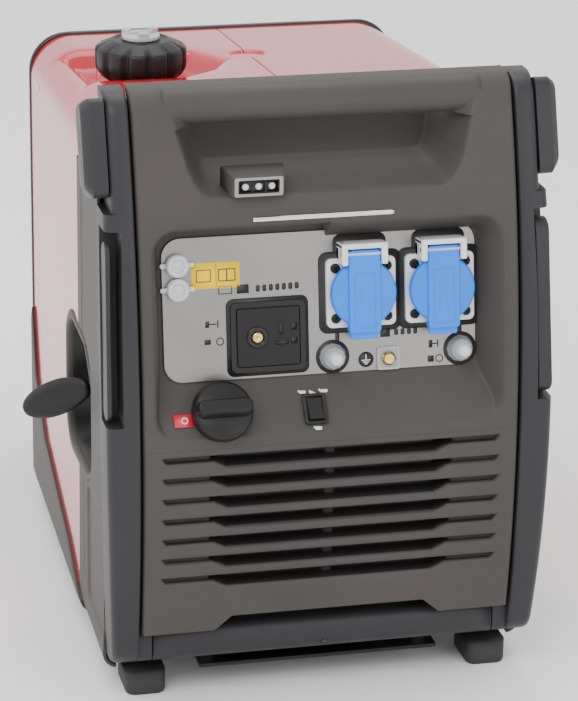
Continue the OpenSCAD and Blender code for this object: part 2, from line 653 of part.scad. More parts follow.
module fuel_tank() color(dark_c) placed() difference() {
    union() {
        block([-152, -130, crank_z + 90], [-48, rim_y - 20, body_top - 58]);
        rod_z(body_top - 60, top_z(fuel_y) - 6, -filler_x, fuel_y, 25);
        rod_x(-49, -30, engine_y + 56, crank_z + 100, 6);
    }
    block([-149, -127, crank_z + 93], [-51, rim_y - 23, body_top - 61]);
    rod_z(body_top - 70, total_h, -filler_x, fuel_y, 20);
}
module muffler() color("silver") placed() difference() {
    along_y(engine_y + 60, engine_y + 150) translate([engine_x, crank_z - 10]) rrect(150, 120, 24);
    rod_y(engine_y + 145, engine_y + 151, -45, 150, 13.2);
}
module tail_pipe() color("silver") placed() difference() {
    rod_y(engine_y + 146, back_edge - 8, -45, 150, 13);
    rod_y(engine_y + 145, back_edge, -45, 150, 11);
}
module stator() color("darkred") placed() difference() {
    rod_y(engine_y - 84, engine_y - 60, engine_x, crank_z, 48);
    rod_y(engine_y - 90, engine_y - 50, engine_x, crank_z, 20);
}
module flywheel() color("gray") placed() {
    rod_y(engine_y - 124, engine_y + 50, engine_x, crank_z, crank_r);
    rod_y(engine_y - 96, engine_y - 88, engine_x, crank_z, fan_r - 6);
    difference() {
        rod_y(engine_y - 92, engine_y - 62, engine_x, crank_z, fan_r - 16);
        rod_y(engine_y - 88, engine_y - 50, engine_x, crank_z, 50);
    }
    for (a = [0:30:330]) translate([engine_x, 0, crank_z]) rotate([0, a, 0])
        block([-2, engine_y - 120, 34], [2, engine_y - 95, fan_r]);
}
module inverter() color("silver") placed() {
    block([-105, front_edge + 46, panel_z + 6], [105, front_edge + 74, panel_z + 124]);
    for (i = [0:12]) block([-102 + i * 16.75, front_edge + 34, panel_z + 8],
        [-99 + i * 16.75, front_edge + 46, panel_z + 122]);
    for (x = [-95, 85]) block([x, front_edge + 54, body_z + 3], [x + 10, front_edge + 70, panel_z + 6]);
}
module engine_mounts() color(dark_c) placed() for (x = [-72, 72], y = [-34, 58])
    rod_z(foot_h + 3, 56, engine_x + x, engine_y + y, 14);

// Fuel cap, vent lever and the plug over the spark plug
module fuel_cap() color(dark_c) placed() translate([-filler_x, fuel_y, top_z(fuel_y) - 12]) {
    translate([0, 0, 6]) difference() {
        cylinder(r = cap_d / 2, h = cap_h);
        for (a = [0:30:330]) rotate(a) translate([cap_d / 2 + 5, 0, -1]) cylinder(r = 8, h = cap_h + 2);
    }
    translate([0, 0, 6 + cap_h]) cylinder(r1 = cap_d / 2 - 5, r2 = cap_d / 2 - 14, h = 6);
    translate([0, 0, -14]) cylinder(r = 19.6, h = 21);
}
module vent_lever() color("silver") placed() translate([-filler_x, fuel_y, top_z(fuel_y) + cap_h + 0.3]) {
    cylinder(r = vent_r, h = 3.5);
    for (i = [0:2]) rotate(30 + i * 120) translate([vent_r - 7, -4.5, 0]) cube([7, 9, 7]);
}
module plug_cover() color(red_c) placed() translate([engine_x, engine_y, top_z(engine_y) - 7]) {
    cylinder(r = 16, h = 6.5);
    translate([0, 0, -8]) cylinder(r = 12, h = 9);
}

// Fold-out carry handles in the pillars
module carry_handle() {
    along_x(pillar_out - handle_t - 0.3, pillar_out - 0.3) translate([handle_y, handle_z]) rotate(-handle_tilt) {
        translate([0, handle_l / 2]) square([20, handle_l], center = true);
        for (z = [0, handle_l]) translate([0, z]) circle(10);
    }
    rod_x(pillar_out - 21, pillar_out - 1, handle_y, handle_z, 3);
}
module left_carry_handle() color("silver") placed() mirror([1, 0, 0]) carry_handle();
module right_carry_handle() color("silver") placed() carry_handle();
module cylinder_set() color("silver") placed() cylinder_node();
module starter_case() {
    starter_housing();
    color(dark_c) placed() starter_post();
}

front_panel();
left_pillar();
right_pillar();
cross_bar();
corner_pads();
left_surround();
right_surround();
left_cover();
right_cover();
left_skirt();
right_skirt();
rear_cover();
base_pan();
front_feet();
axle();
left_hub();
left_tyre();
right_hub();
right_tyre();
control_plate();
indicator_box();
indicator_lenses();
left_socket();
right_socket();
socket_screws();
dc_outlet();
earth_terminal();
earth_screw();
parallel_jacks();
starter_bezel();
fuel_tank();
engine_block();
cylinder_set();  // cylinder
spark_plug();
carburettor();
air_cleaner();
fuel_hose();
muffler();
tail_pipe();
stator();
starter_case();  // starter_housing
inverter();
engine_mounts();
fuel_cap();
vent_lever();
plug_cover();
engine_switch();
eco_switch();
left_lid();
right_lid();
left_breaker();
right_breaker();
dc_breaker();
upper_jack_cap();
lower_jack_cap();
starter_grip();
starter_reel();
left_carry_handle();
right_carry_handle();
flywheel();
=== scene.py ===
"""Portable inverter generator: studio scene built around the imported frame."""
import itertools
import json
import math

import bmesh
import bpy
import numpy as np
from mathutils import Matrix, Vector


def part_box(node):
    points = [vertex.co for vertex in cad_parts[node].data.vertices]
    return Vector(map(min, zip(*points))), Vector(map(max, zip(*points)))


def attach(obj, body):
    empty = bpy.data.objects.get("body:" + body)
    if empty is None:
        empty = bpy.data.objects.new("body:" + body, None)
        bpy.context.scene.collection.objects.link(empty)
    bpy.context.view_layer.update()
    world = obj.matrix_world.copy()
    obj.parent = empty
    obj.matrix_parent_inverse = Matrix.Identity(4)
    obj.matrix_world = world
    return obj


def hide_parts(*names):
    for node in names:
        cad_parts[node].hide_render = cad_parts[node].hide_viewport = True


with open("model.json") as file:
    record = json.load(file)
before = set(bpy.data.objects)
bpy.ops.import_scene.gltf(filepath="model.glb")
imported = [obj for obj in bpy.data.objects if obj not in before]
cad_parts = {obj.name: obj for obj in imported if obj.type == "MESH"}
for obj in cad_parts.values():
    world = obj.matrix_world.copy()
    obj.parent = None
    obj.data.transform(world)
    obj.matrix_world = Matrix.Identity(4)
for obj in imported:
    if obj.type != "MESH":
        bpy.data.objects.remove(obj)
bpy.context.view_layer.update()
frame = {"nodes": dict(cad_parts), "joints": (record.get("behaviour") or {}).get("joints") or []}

MM = 0.001
SIDES = ((-1, "left"), (1, "right"))
JOINTS = {j["name"]: j for j in frame["joints"]}


# ---------------------------------------------------------------- places taken from the frame
def box_mm(node):
    """Low and high corner of a node's box, in mm."""
    lo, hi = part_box(node)
    return np.array(lo) / MM, np.array(hi) / MM


PANEL_LO, PANEL_HI = box_mm("front_panel")
MID = (PANEL_LO[0] + PANEL_HI[0]) / 2
FRONT = PANEL_LO[1]
TOP = PANEL_HI[2]
PANEL_X = (PANEL_HI[0] - PANEL_LO[0]) / 2
PANEL_Z = PANEL_LO[2]
BOW_R = 861.0
BOW_Z = 190.0
PAD_LO = box_mm("corner_pads")[0]
PILLAR_LO, PILLAR_HI = box_mm("right_pillar")
PILLAR_X = PILLAR_HI[0] - MID
MOUTH_TOP = TOP - 104
MOUTH_Z = MOUTH_TOP - 162
MOUTH_X = 140.0
MID_SHIFT = np.array([MID, 0, 0])


def front_y(z):
    """Depth of the bowed front at height z, in mm."""
    return FRONT + BOW_R - np.sqrt(BOW_R ** 2 - (np.asarray(z, float) - BOW_Z) ** 2)


def unit(v):
    """The vector at length one."""
    v = np.array(v, float)
    return v / np.linalg.norm(v)


X_AXIS = np.array([1.0, 0.0, 0.0])
PLATE_N = -unit(JOINTS["left_breaker_push"]["axis"])
PLATE_UP = np.cross(PLATE_N, X_AXIS)
SHELF_N = unit(JOINTS["engine_switch_turn"]["axis"])
SHELF_UP = np.cross(SHELF_N, X_AXIS)
LID_HINGE = np.array(JOINTS["left_lid_open"]["pos_m"]) / MM
PLATE_O = LID_HINGE - 28 * X_AXIS - 98 * PLATE_UP - 17 * PLATE_N
KNOB_X, KNOB_S = -88, -25
KNOB_O = np.array(JOINTS["engine_switch_turn"]["pos_m"]) / MM


def basis(origin, up, normal):
    """Matrix in metres: local X right, local Y up the face, local Z out of it, local units mm."""
    m = Matrix.Identity(4)
    for r in range(3):
        m[r][0] = X_AXIS[r] * MM
        m[r][1] = up[r] * MM
        m[r][2] = normal[r] * MM
        m[r][3] = origin[r] * MM
    return m


def on_plate(x, s, n=0.0):
    """Matrix on the control plate: x across, s up the plate, n out of it, in mm."""
    return basis(PLATE_O + x * X_AXIS + s * PLATE_UP + n * PLATE_N, PLATE_UP, PLATE_N)


def on_shelf(x, s, n=0.0):
    """Matrix on the shelf under the plate, with the same axes."""
    o = KNOB_O + (x - KNOB_X) * X_AXIS + (s - KNOB_S) * SHELF_UP + n * SHELF_N
    return basis(o, SHELF_UP, SHELF_N)


def upright(x, y, z):
    """Matrix at a place given in mm from the casing's middle plane, axes as the world's."""
    return Matrix.Translation(Vector(((x + MID) * MM, y * MM, z * MM))) @ Matrix.Scale(MM, 4)


# ---------------------------------------------------------------- materials
def node_material(name):
    mat = bpy.data.materials.new(name)
    mat.use_nodes = True
    tree = mat.node_tree
    return mat, tree, tree.nodes["Principled BSDF"]


def noise(tree, coords, scale, detail=3.0, stretch=None):
    src = coords
    if stretch is not None:
        mapping = tree.nodes.new("ShaderNodeMapping")
        mapping.inputs["Scale"].default_value = stretch
        tree.links.new(coords, mapping.inputs["Vector"])
        src = mapping.outputs["Vector"]
    tex = tree.nodes.new("ShaderNodeTexNoise")
    tex.inputs["Scale"].default_value = scale
    tex.inputs["Detail"].default_value = detail
    tree.links.new(src, tex.inputs["Vector"])
    return tex.outputs["Fac"]


def ranged(tree, value, low, high):
    node = tree.nodes.new("ShaderNodeMapRange")
    node.inputs["From Min"].default_value = 0.3
    node.inputs["From Max"].default_value = 0.7
    node.inputs["To Min"].default_value = low
    node.inputs["To Max"].default_value = high
    tree.links.new(value, node.inputs["Value"])
    return node.outputs["Result"]


def tint(tree, value, color, spread):
    """A colour that wanders round `color` by the noise value."""
    ramp = tree.nodes.new("ShaderNodeValToRGB")
    ramp.color_ramp.elements[0].position = 0.3
    ramp.color_ramp.elements[1].position = 0.7
    ramp.color_ramp.elements[0].color = [c * (1 - spread) for c in color] + [1]
    ramp.color_ramp.elements[1].color = [min(1, c * (1 + spread)) for c in color] + [1]
    tree.links.new(value, ramp.inputs["Fac"])
    return ramp.outputs["Color"]


def moulded(name, color, rough, spread=0.06, grain=2600, bump=0.15, depth=0.00006, rough_spread=0.05,
            coat=0.0, specular=0.5, sheen_scale=9, stretch=None):
    """A moulded or painted finish: colour and roughness wander, and a fine grain lifts the surface."""
    mat, tree, bsdf = node_material(name)
    coords = tree.nodes.new("ShaderNodeTexCoord").outputs["Object"]
    cloud = noise(tree, coords, sheen_scale, 4)
    tree.links.new(tint(tree, cloud, color, spread), bsdf.inputs["Base Color"])
    speck = noise(tree, coords, grain * 0.35, 2, stretch)
    tree.links.new(ranged(tree, speck, rough - rough_spread, rough + rough_spread),
                   bsdf.inputs["Roughness"])
    bsdf.inputs["Specular IOR Level"].default_value = specular
    bsdf.inputs["Coat Weight"].default_value = coat
    bsdf.inputs["Coat Roughness"].default_value = 0.04
    relief = tree.nodes.new("ShaderNodeBump")
    relief.inputs["Strength"].default_value = bump
    relief.inputs["Distance"].default_value = depth
    tree.links.new(noise(tree, coords, grain, 2, stretch), relief.inputs["Height"])
    tree.links.new(relief.outputs["Normal"], bsdf.inputs["Normal"])
    return mat


def metal(name, color, rough, stretch=None, scale=900, bump=0.08, spread=0.05):
    mat = moulded(name, color, rough, spread, scale, bump, 0.00005, 0.07, stretch=stretch)
    mat.node_tree.nodes["Principled BSDF"].inputs["Metallic"].default_value = 1.0
    return mat


def clear(name, color, rough, weight):
    mat = moulded(name, color, rough, 0.03, 900, 0.05, 0.00004)
    bsdf = mat.node_tree.nodes["Principled BSDF"]
    bsdf.inputs["Transmission Weight"].default_value = weight
    bsdf.inputs["IOR"].default_value = 1.45
    return mat


PANEL = moulded("panel_plastic", (0.058, 0.052, 0.048), 0.54, 0.07, 1300, 0.55, 0.00014, specular=0.22)
FRAME = moulded("frame_plastic", (0.024, 0.0235, 0.026), 0.42, 0.07, 1500, 0.30, 0.0001, specular=0.30)
RED = moulded("red_gloss", (0.50, 0.004, 0.014), 0.16, 0.04, 700, 0.04, 0.00006, 0.03, coat=0.5)
# Darker copy of the red gloss, used for the strip along the skirt's top edge: painted shade on the red
# cover's lower edge.
SHADED_RED = moulded("painted_red_shade", (0.22, 0.008, 0.014), 0.30, 0.05, 900, 0.08)
BLACK = moulded("black_plastic", (0.011, 0.010, 0.010), 0.40, 0.10, 1500, 0.25, 0.0001, specular=0.30)
GLOSS_BLACK = moulded("gloss_black", (0.010, 0.0095, 0.0095), 0.26, 0.08, 1200, 0.10, specular=0.4)
# Near-black for the deep faces of the louvre slots, the DC slot floors and the strips behind the panel seams:
# painted shade in these hollows and gaps.
HOLLOW_SHADE = moulded("painted_hollow_shade", (0.012, 0.010, 0.010), 0.60, 0.10, 900, 0.2)
RUBBER = moulded("rubber", (0.022, 0.021, 0.021), 0.70, 0.12, 1100, 0.45, 0.00015, 0.08)
PLATE = metal("brushed_plate", (0.30, 0.288, 0.278), 0.40, (1.0, 60.0, 60.0), 55, 0.16, 0.10)
STEEL = metal("zinc_steel", (0.52, 0.52, 0.53), 0.34)
CAST = metal("cast_aluminium", (0.42, 0.42, 0.43), 0.55, scale=1400, bump=0.35)
BRASS = metal("brass", (0.80, 0.56, 0.20), 0.24)
COPPER = metal("copper", (0.62, 0.25, 0.10), 0.38)
CHROME = metal("bright_trim", (0.72, 0.71, 0.70), 0.18)
SILVER = moulded("silver_paint", (0.44, 0.44, 0.45), 0.32, 0.06, 1400, 0.2)
WHITE = moulded("white_plastic", (0.72, 0.72, 0.74), 0.34, 0.02, 1500, 0.10)
LIGHT_GREY = moulded("handle_grey", (0.26, 0.245, 0.235), 0.36, 0.05, 1500, 0.2)
BLUE = moulded("blue_lid", (0.003, 0.20, 0.86), 0.36, 0.04, 1500, 0.14, specular=0.35)
YELLOW = moulded("yellow_label", (0.95, 0.62, 0.001), 0.5, 0.03, 1500, 0.05, specular=0.2)
INK = moulded("print_black", (0.020, 0.018, 0.018), 0.45, 0.05, 1500, 0.05)
PRINT_WHITE = moulded("print_white", (0.78, 0.78, 0.77), 0.45, 0.03, 1500, 0.05)
PRINT_RED = moulded("print_red", (0.62, 0.02, 0.05), 0.40, 0.04, 1500, 0.05)
CLEAR = clear("clear_plastic", (0.80, 0.84, 0.86), 0.14, 0.65)
MILKY = clear("milky_cap", (0.74, 0.77, 0.80), 0.28, 0.25)
LENS = moulded("lens_glow", (0.45, 0.43, 0.42), 0.12, 0.30, 260, 0.05, coat=1.0)


# ---------------------------------------------------------------- mesh helpers
def finish_piece(obj, material, body, replaces=(), matrix=None, smooth=True):
    """Gives a new piece its place, material and body, and hides the parts it replaces."""
    bpy.context.scene.collection.objects.link(obj)
    if matrix is not None:
        obj.data.transform(matrix)
    for m in material if isinstance(material, (list, tuple)) else [material]:
        obj.data.materials.append(m)
    if smooth:
        for p in obj.data.polygons:
            p.use_smooth = True
    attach(obj, body)
    if replaces:
        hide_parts(*replaces)
    return obj


def from_bmesh(name, bm):
    bmesh.ops.recalc_face_normals(bm, faces=bm.faces)
    mesh = bpy.data.meshes.new(name)
    bm.to_mesh(mesh)
    bm.free()
    return bpy.data.objects.new(name, mesh)


def soften(obj, width, segments=3, angle=32):
    """Rounds the hard edges of a piece and keeps its flats flat."""
    bevel = obj.modifiers.new("round", "BEVEL")
    bevel.width = width * MM
    bevel.segments = segments
    bevel.limit_method = "ANGLE"
    bevel.angle_limit = math.radians(angle)
    bevel.harden_normals = True
    return obj


def rrect(w, h, r, cx=0.0, cy=0.0, steps=8):
    """Counter-clockwise outline of a rectangle with round corners."""
    pts = []
    for k, (sx, sy) in enumerate(((1, -1), (1, 1), (-1, 1), (-1, -1))):
        for i in range(steps + 1):
            a = math.radians(-90 + 90 * k + 90 * i / steps)
            pts.append((cx + sx * (w / 2 - r) + r * math.cos(a), cy + sy * (h / 2 - r) + r * math.sin(a)))
    return pts


def circle(r, cx=0.0, cy=0.0, steps=48):
    return [(cx + r * math.cos(2 * math.pi * i / steps), cy + r * math.sin(2 * math.pi * i / steps))
            for i in range(steps)]


def skin(bm, rows, closed=True, caps=True):
    """Quads between rows of vertices; closed rows join end to start, and caps close both ends."""
    n = len(rows[0])
    for a, b in zip(rows[:-1], rows[1:]):
        for i in range(n if closed else n - 1):
            j = (i + 1) % n
            bm.faces.new((a[i], a[j], b[j], b[i]))
    if caps:
        bm.faces.new(rows[0][::-1])
        bm.faces.new(rows[-1])


def add_prism(bm, outline, z0, z1):
    """A closed prism on an outline."""
    skin(bm, [[bm.verts.new((x, y, z)) for x, y in outline] for z in (z0, z1)])


def add_slab(bm, size, place, z0, z1, steps=8):
    """A prism on a rounded rectangle: size is (width, height, corner radius), place its centre."""
    add_prism(bm, rrect(*size, *place, steps), z0, z1)


def add_ring(bm, outer, inner, z0, z1):
    """A closed prism between two outlines of equal point count."""
    loops = [[bm.verts.new((x, y, z)) for x, y in o] for z in (z0, z1) for o in (outer, inner)]
    n = len(outer)
    for i in range(n):
        j = (i + 1) % n
        a, b, c, d = loops
        bm.faces.new((a[i], a[j], c[j], c[i]))
        bm.faces.new((b[j], b[i], d[i], d[j]))
        bm.faces.new((c[i], c[j], d[j], d[i]))
        bm.faces.new((a[j], a[i], b[i], b[j]))


def add_frame(bm, outer, inner, place, z0, z1, steps=8):
    """A rectangular ring: outer and inner are (width, height, corner radius), place is its centre."""
    add_ring(bm, rrect(*outer, *place, steps), rrect(*inner, *place, steps), z0, z1)


def add_lathe(bm, profile, steps=48):
    """Turns a profile of (radius, height) points round local Z; ends on the axis are closed."""
    rings = []
    for r, z in profile:
        if r < 1e-6:
            rings.append([bm.verts.new((0, 0, z))])
        else:
            rings.append([bm.verts.new((r * math.cos(2 * math.pi * i / steps),
                                        r * math.sin(2 * math.pi * i / steps), z)) for i in range(steps)])
    for a, b in zip(rings[:-1], rings[1:]):
        for i in range(steps):
            j = (i + 1) % steps
            quad = [a[i % len(a)], a[j % len(a)], b[j % len(b)], b[i % len(b)]]
            corners = []
            for v in quad:
                if v not in corners:
                    corners.append(v)
            if len(corners) > 2:
                bm.faces.new(corners)


def add_lathe_at(bm, profile, steps, x, y):
    """A turned shape standing at (x, y)."""
    part = bmesh.new()
    add_lathe(part, profile, steps)
    bmesh.ops.translate(part, vec=(x, y, 0), verts=part.verts)
    mesh = bpy.data.meshes.new("tmp")
    part.to_mesh(mesh)
    part.free()
    bm.from_mesh(mesh)
    bpy.data.meshes.remove(mesh)


def place_rings(bm, rings):
    """Vertices of rings whose points are world mm from the middle plane."""
    return [[bm.verts.new(((p[0] + MID) * MM, p[1] * MM, p[2] * MM)) for p in ring] for ring in rings]


def loft(name, rings):
    """A new closed piece skinned over rings of equal point count."""
    bm = bmesh.new()
    skin(bm, place_rings(bm, rings))
    return from_bmesh(name, bm)


def face_middles(a):
    """Middle of each grid face."""
    return (a[:-1, :-1] + a[1:, 1:]) / 2


def grid_mesh(name, points, keep=None, flip=False):
    """Quads over a grid of points in mm (rows, columns, 3); keep masks the faces."""
    rows, cols = points.shape[:2]
    co = points.reshape(-1, 3) * MM
    idx = np.arange(rows * cols).reshape(rows, cols)
    quads = np.stack([idx[:-1, :-1], idx[:-1, 1:], idx[1:, 1:], idx[1:, :-1]], -1)
    if flip:
        quads = quads[..., ::-1]
    quads = quads[keep] if keep is not None else quads.reshape(-1, 4)
    mesh = bpy.data.meshes.new(name)
    mesh.from_pydata(co.tolist(), [], quads.reshape(-1, 4).tolist())
    mesh.update()
    return bpy.data.objects.new(name, mesh)


# ---------------------------------------------------------------- shape functions
def smooth_max(a, b, r):
    h = np.clip(0.5 + 0.5 * (a - b) / r, 0, 1)
    return b + (a - b) * h + r * h * (1 - h)


def smooth_min(a, b, r):
    return -smooth_max(-np.asarray(a), -np.asarray(b), r)


def inside_rrect(x, z, cx, cz, hx, hz, r):
    """Distance inside a rounded rectangle, positive inside."""
    qx = np.abs(x - cx) - hx + r
    qz = np.abs(z - cz) - hz + r
    out = np.hypot(np.maximum(qx, 0), np.maximum(qz, 0)) + np.minimum(np.maximum(qx, qz), 0)
    return r - out


def inside_poly(x, z, pts):
    """Distance inside a convex or concave polygon, positive inside."""
    pts = np.array(pts, float)
    best = np.full(np.shape(x), 1e9)
    winding = np.zeros(np.shape(x), bool)
    for a, b in zip(pts, np.roll(pts, -1, axis=0)):
        e = b - a
        wx, wz = x - a[0], z - a[1]
        t = np.clip((wx * e[0] + wz * e[1]) / (e @ e), 0, 1)
        best = np.minimum(best, np.hypot(wx - t * e[0], wz - t * e[1]))
        cross = (a[1] > z) != (b[1] > z)
        with np.errstate(divide="ignore", invalid="ignore"):
            hit = x < (b[0] - a[0]) * (z - a[1]) / (b[1] - a[1]) + a[0]
        winding ^= cross & hit
    return np.where(winding, best, -best)


def wall(inside, slope, soft):
    """Depth of a drafted wall, with a rounded rim."""
    return slope * (inside + np.sqrt(inside ** 2 + soft ** 2)) / 2


# ---------------------------------------------------------------- front panel
HAND_Z = TOP - 80
HAND_TOP = TOP - 30
HAND_HALF = [(84, HAND_Z - 1), (93, HAND_Z + 0.5), (99, HAND_Z + 4), (104, HAND_Z + 10), (109, HAND_Z + 20),
             (127, TOP + 4), (131, TOP + 20)]
HAND_PTS = HAND_HALF + [(-x, z) for x, z in HAND_HALF[::-1]]
POCKET_BACK = PANEL_HI[1] - 4
SLOT_COUNT, SLOT_PITCH = 7, 17.2
SLOT_TOP = PANEL_Z + 33 + SLOT_COUNT * SLOT_PITCH
SLOT_HALF = PANEL_X - 15


def slot_points(z):
    a, b, h = SLOT_HALF * 0.62, SLOT_HALF * 0.70, SLOT_HALF
    left = [(-h, z), (-h + 3, z - 4.4), (-b, z - 4.4), (-a, z - 9.8)]
    return left + [(-px, pz) for px, pz in left[::-1]]


def panel_depths(x, z):
    """Depth of the panel's surface, and how much of it belongs to a slot and to the hand pocket."""
    base = front_y(z)
    crown = np.clip(z - (TOP - 13), 0, 12.9)
    base = base + 13 - np.sqrt(13 ** 2 - crown ** 2)
    edge = np.clip(np.abs(x) - (PANEL_X - 4), 0, 3.9)
    base = base + 4 - np.sqrt(16 - edge ** 2)
    mouth = inside_rrect(x, z, 0, MOUTH_Z + 81, MOUTH_X, 81, 19)
    slope = np.where(x > 0, 1.5, 4.0)
    plate_plane = PLATE_O[1] + (z - PLATE_O[2]) * (PLATE_UP[1] / PLATE_UP[2]) + 0.6
    shelf_plane = PLATE_O[1] + (z - PLATE_O[2]) * (SHELF_UP[1] / SHELF_UP[2]) + 0.4
    floor = smooth_min(plate_plane, shelf_plane, 3)
    recess = smooth_min(base + wall(mouth, slope, 2.0), floor, 1.2)
    y = np.where(mouth > -12, np.maximum(recess, base), base)
    pocket = inside_poly(x, z, HAND_PTS)
    pocket = smooth_min(pocket, 60, 8)
    back = front_y(HAND_Z) + 62 + (z - HAND_Z - 13) * 0.5
    rise = np.where(z < HAND_Z + 13, base + (z - HAND_Z) * 4.4, back)
    across = np.clip(np.abs(z - TOP + 15) / 15.0, 0, 1)
    roll = float(front_y(TOP - 15)) + 17.5 - 17.5 * (1 - across ** 2.3) ** (1 / 2.3)
    rise = np.where(z > HAND_TOP, np.maximum(roll, base), rise)
    pocket_y = smooth_min(base + wall(pocket, 4.0, 1.2), smooth_max(rise, base, 1.2), 1.6)
    under_bar = np.minimum(base + wall(pocket, 1.2, 1.5), np.maximum(roll, base))
    pocket_y = np.where(z > HAND_TOP, under_bar, pocket_y)
    y = np.where(z > HAND_Z - 14, np.maximum(y, pocket_y), y)
    slots = np.full(np.shape(x), -1e3)
    for i in range(SLOT_COUNT):
        zi = SLOT_TOP - i * SLOT_PITCH
        near = (z < zi + 6) & (z > zi - 15)
        d = inside_poly(x[near], z[near], slot_points(zi))
        slots[near] = np.maximum(slots[near], d)
    rib = np.clip((4.6 - np.abs(x)) / 0.6, 0, 1)
    depth = 17 - 5 * rib
    depth = np.where(np.abs(x) > SLOT_HALF * 0.72, 5.5, depth)
    cut = np.minimum(wall(slots, 7.0, 0.7), depth)
    return y + cut, cut, pocket


def build_front_panel():
    xs = np.linspace(-PANEL_X + 0.4, PANEL_X - 0.4, 253)
    slot_rows = np.arange(PANEL_Z, SLOT_TOP + 6, 0.62)
    zs = np.concatenate([slot_rows, np.arange(SLOT_TOP + 6, TOP - 0.05, 1.0), [TOP - 0.1]])
    x, z = np.meshgrid(xs, zs)
    scoop = 12.5 * np.clip((93 - np.abs(x)) / 14, 0, 1)
    lift = scoop * np.clip(1 - (z - PANEL_Z) / 26, 0, 1)
    z = z + lift
    y, slot_cut, pocket = panel_depths(x, z)
    points = np.stack([x + MID, y, z], -1)
    over = (z[:-1, :-1] <= HAND_TOP) & (z[1:, 1:] > HAND_TOP)
    keep = ~((face_middles(pocket) > 5) & over)
    obj = grid_mesh("panel_moulding", points, keep)
    # Faces more than 3 mm down in the louvre slots take the near-black material: painted shade inside the
    # slots.
    slot_shade_faces = (face_middles(slot_cut) > 3.0)[keep]
    lip_bm = bmesh.new()
    lip_bm.from_mesh(obj.data)
    edges = [e for e in lip_bm.edges if e.is_boundary]
    made = bmesh.ops.extrude_edge_only(lip_bm, edges=edges)
    for v in [g for g in made["geom"] if isinstance(g, bmesh.types.BMVert)]:
        v.co.y = max(v.co.y, min(v.co.y + 0.016, (POCKET_BACK + 3) * MM))
    lip_bm.to_mesh(obj.data)
    lip_bm.free()
    finish_piece(obj, [PANEL, HOLLOW_SHADE], "root", ["front_panel"])
    flags = np.zeros(len(obj.data.polygons), np.int32)
    flags[:len(slot_shade_faces)] = slot_shade_faces
    obj.data.polygons.foreach_set("material_index", flags)
    return obj


def bar_section(squeeze=1.0):
    """Superellipse section of the grip bar, as (depth, height) points."""
    cy = float(front_y(TOP - 15)) + 17
    cz = TOP - 15
    ring = []
    for i in range(48):
        a = 2 * math.pi * i / 48
        c, s = math.cos(a), math.sin(a)
        k = (abs(c) ** 2.6 + abs(s) ** 2.6) ** (-1 / 2.6)
        ring.append((cy - 17 * k * c * squeeze, cz + 15 * k * s * squeeze))
    return ring


def build_grip_bar():
    rings = []
    for x in np.linspace(-126.5, 126.5, 60):
        rings.append([(x, y + 0.9, z - 0.4) for y, z in bar_section(0.97)])
    bar = loft("grip_bar", rings)
    return finish_piece(bar, PANEL, "root")


def build_panel_back():
    """Closes the hand pocket behind the grip bar and backs the slots."""
    bm = bmesh.new()
    for lo, hi in (((-128, POCKET_BACK - 1, HAND_Z + 8), (128, POCKET_BACK + 3, TOP - 30)),
                   ((-PANEL_X + 8, FRONT + 29, PANEL_Z + 16), (PANEL_X - 8, FRONT + 31, SLOT_TOP + 4))):
        bmesh.ops.create_cube(bm, size=1.0, matrix=Matrix.Translation(
            Vector([((a + b) / 2 + (MID if i == 0 else 0)) * MM for i, (a, b) in enumerate(zip(lo, hi))]))
            @ Matrix.Diagonal(Vector([(b - a) * MM for a, b in zip(lo, hi)] + [1])))
    obj = from_bmesh("panel_backing", bm)
    soften(obj, 1.0, 2)
    return finish_piece(obj, PANEL, "root")


# ---------------------------------------------------------------- pillars, pads, cross bar, feet
def pillar_bow(z):
    """How far the pillar's outer face draws in above and below mid height."""
    return 6.0 * np.clip(np.abs(z - 250) / 215, 0, 1) ** 2


def pillar_ring(z, side, notch):
    """Plan section of a pillar; notch removes the outer front corner for the carry handle."""
    inner = PANEL_X + 1.8
    outer = float(PILLAR_X - pillar_bow(z))
    front = float(front_y(z)) + 0.4
    if z > TOP - 16:
        k = min(1.0, (z - TOP + 16) / 13.9)
        front += 16 * (1 - math.sqrt(1 - k * k * 0.98))
    if z < PILLAR_LO[2] + 16:
        k = min(1.0, (PILLAR_LO[2] + 16 - z) / 16)
        front += 14 * (1 - math.sqrt(max(0, 1 - k * k)))
    back = float(front_y(z)) + 33.4
    if z > PAD_LO[2] - 4:
        outer = min(outer, PILLAR_X - 9.2)
    ring = []
    r = 3.0
    for i in range(5):
        a = math.radians(180 + 90 * i / 4)
        ring.append((inner + r + r * math.cos(a), front + r + r * math.sin(a)))
    if notch:
        ring += [(outer - 13.2, front)] * 2 + [(outer - 13.0, front + 0.6), (outer - 13.0, front + 24)]
        ring += [(outer - 12.8, front + 24.4), (outer - 0.6, front + 24.4), (outer, front + 25)]
    else:
        for i in range(7):
            a = math.radians(270 + 90 * i / 6)
            ring.append((outer - 7 + 7 * math.cos(a), front + 7 + 7 * math.sin(a)))
    ring += [(outer, back), (inner, back)]
    return [(side * x, y, z) for x, y in ring]


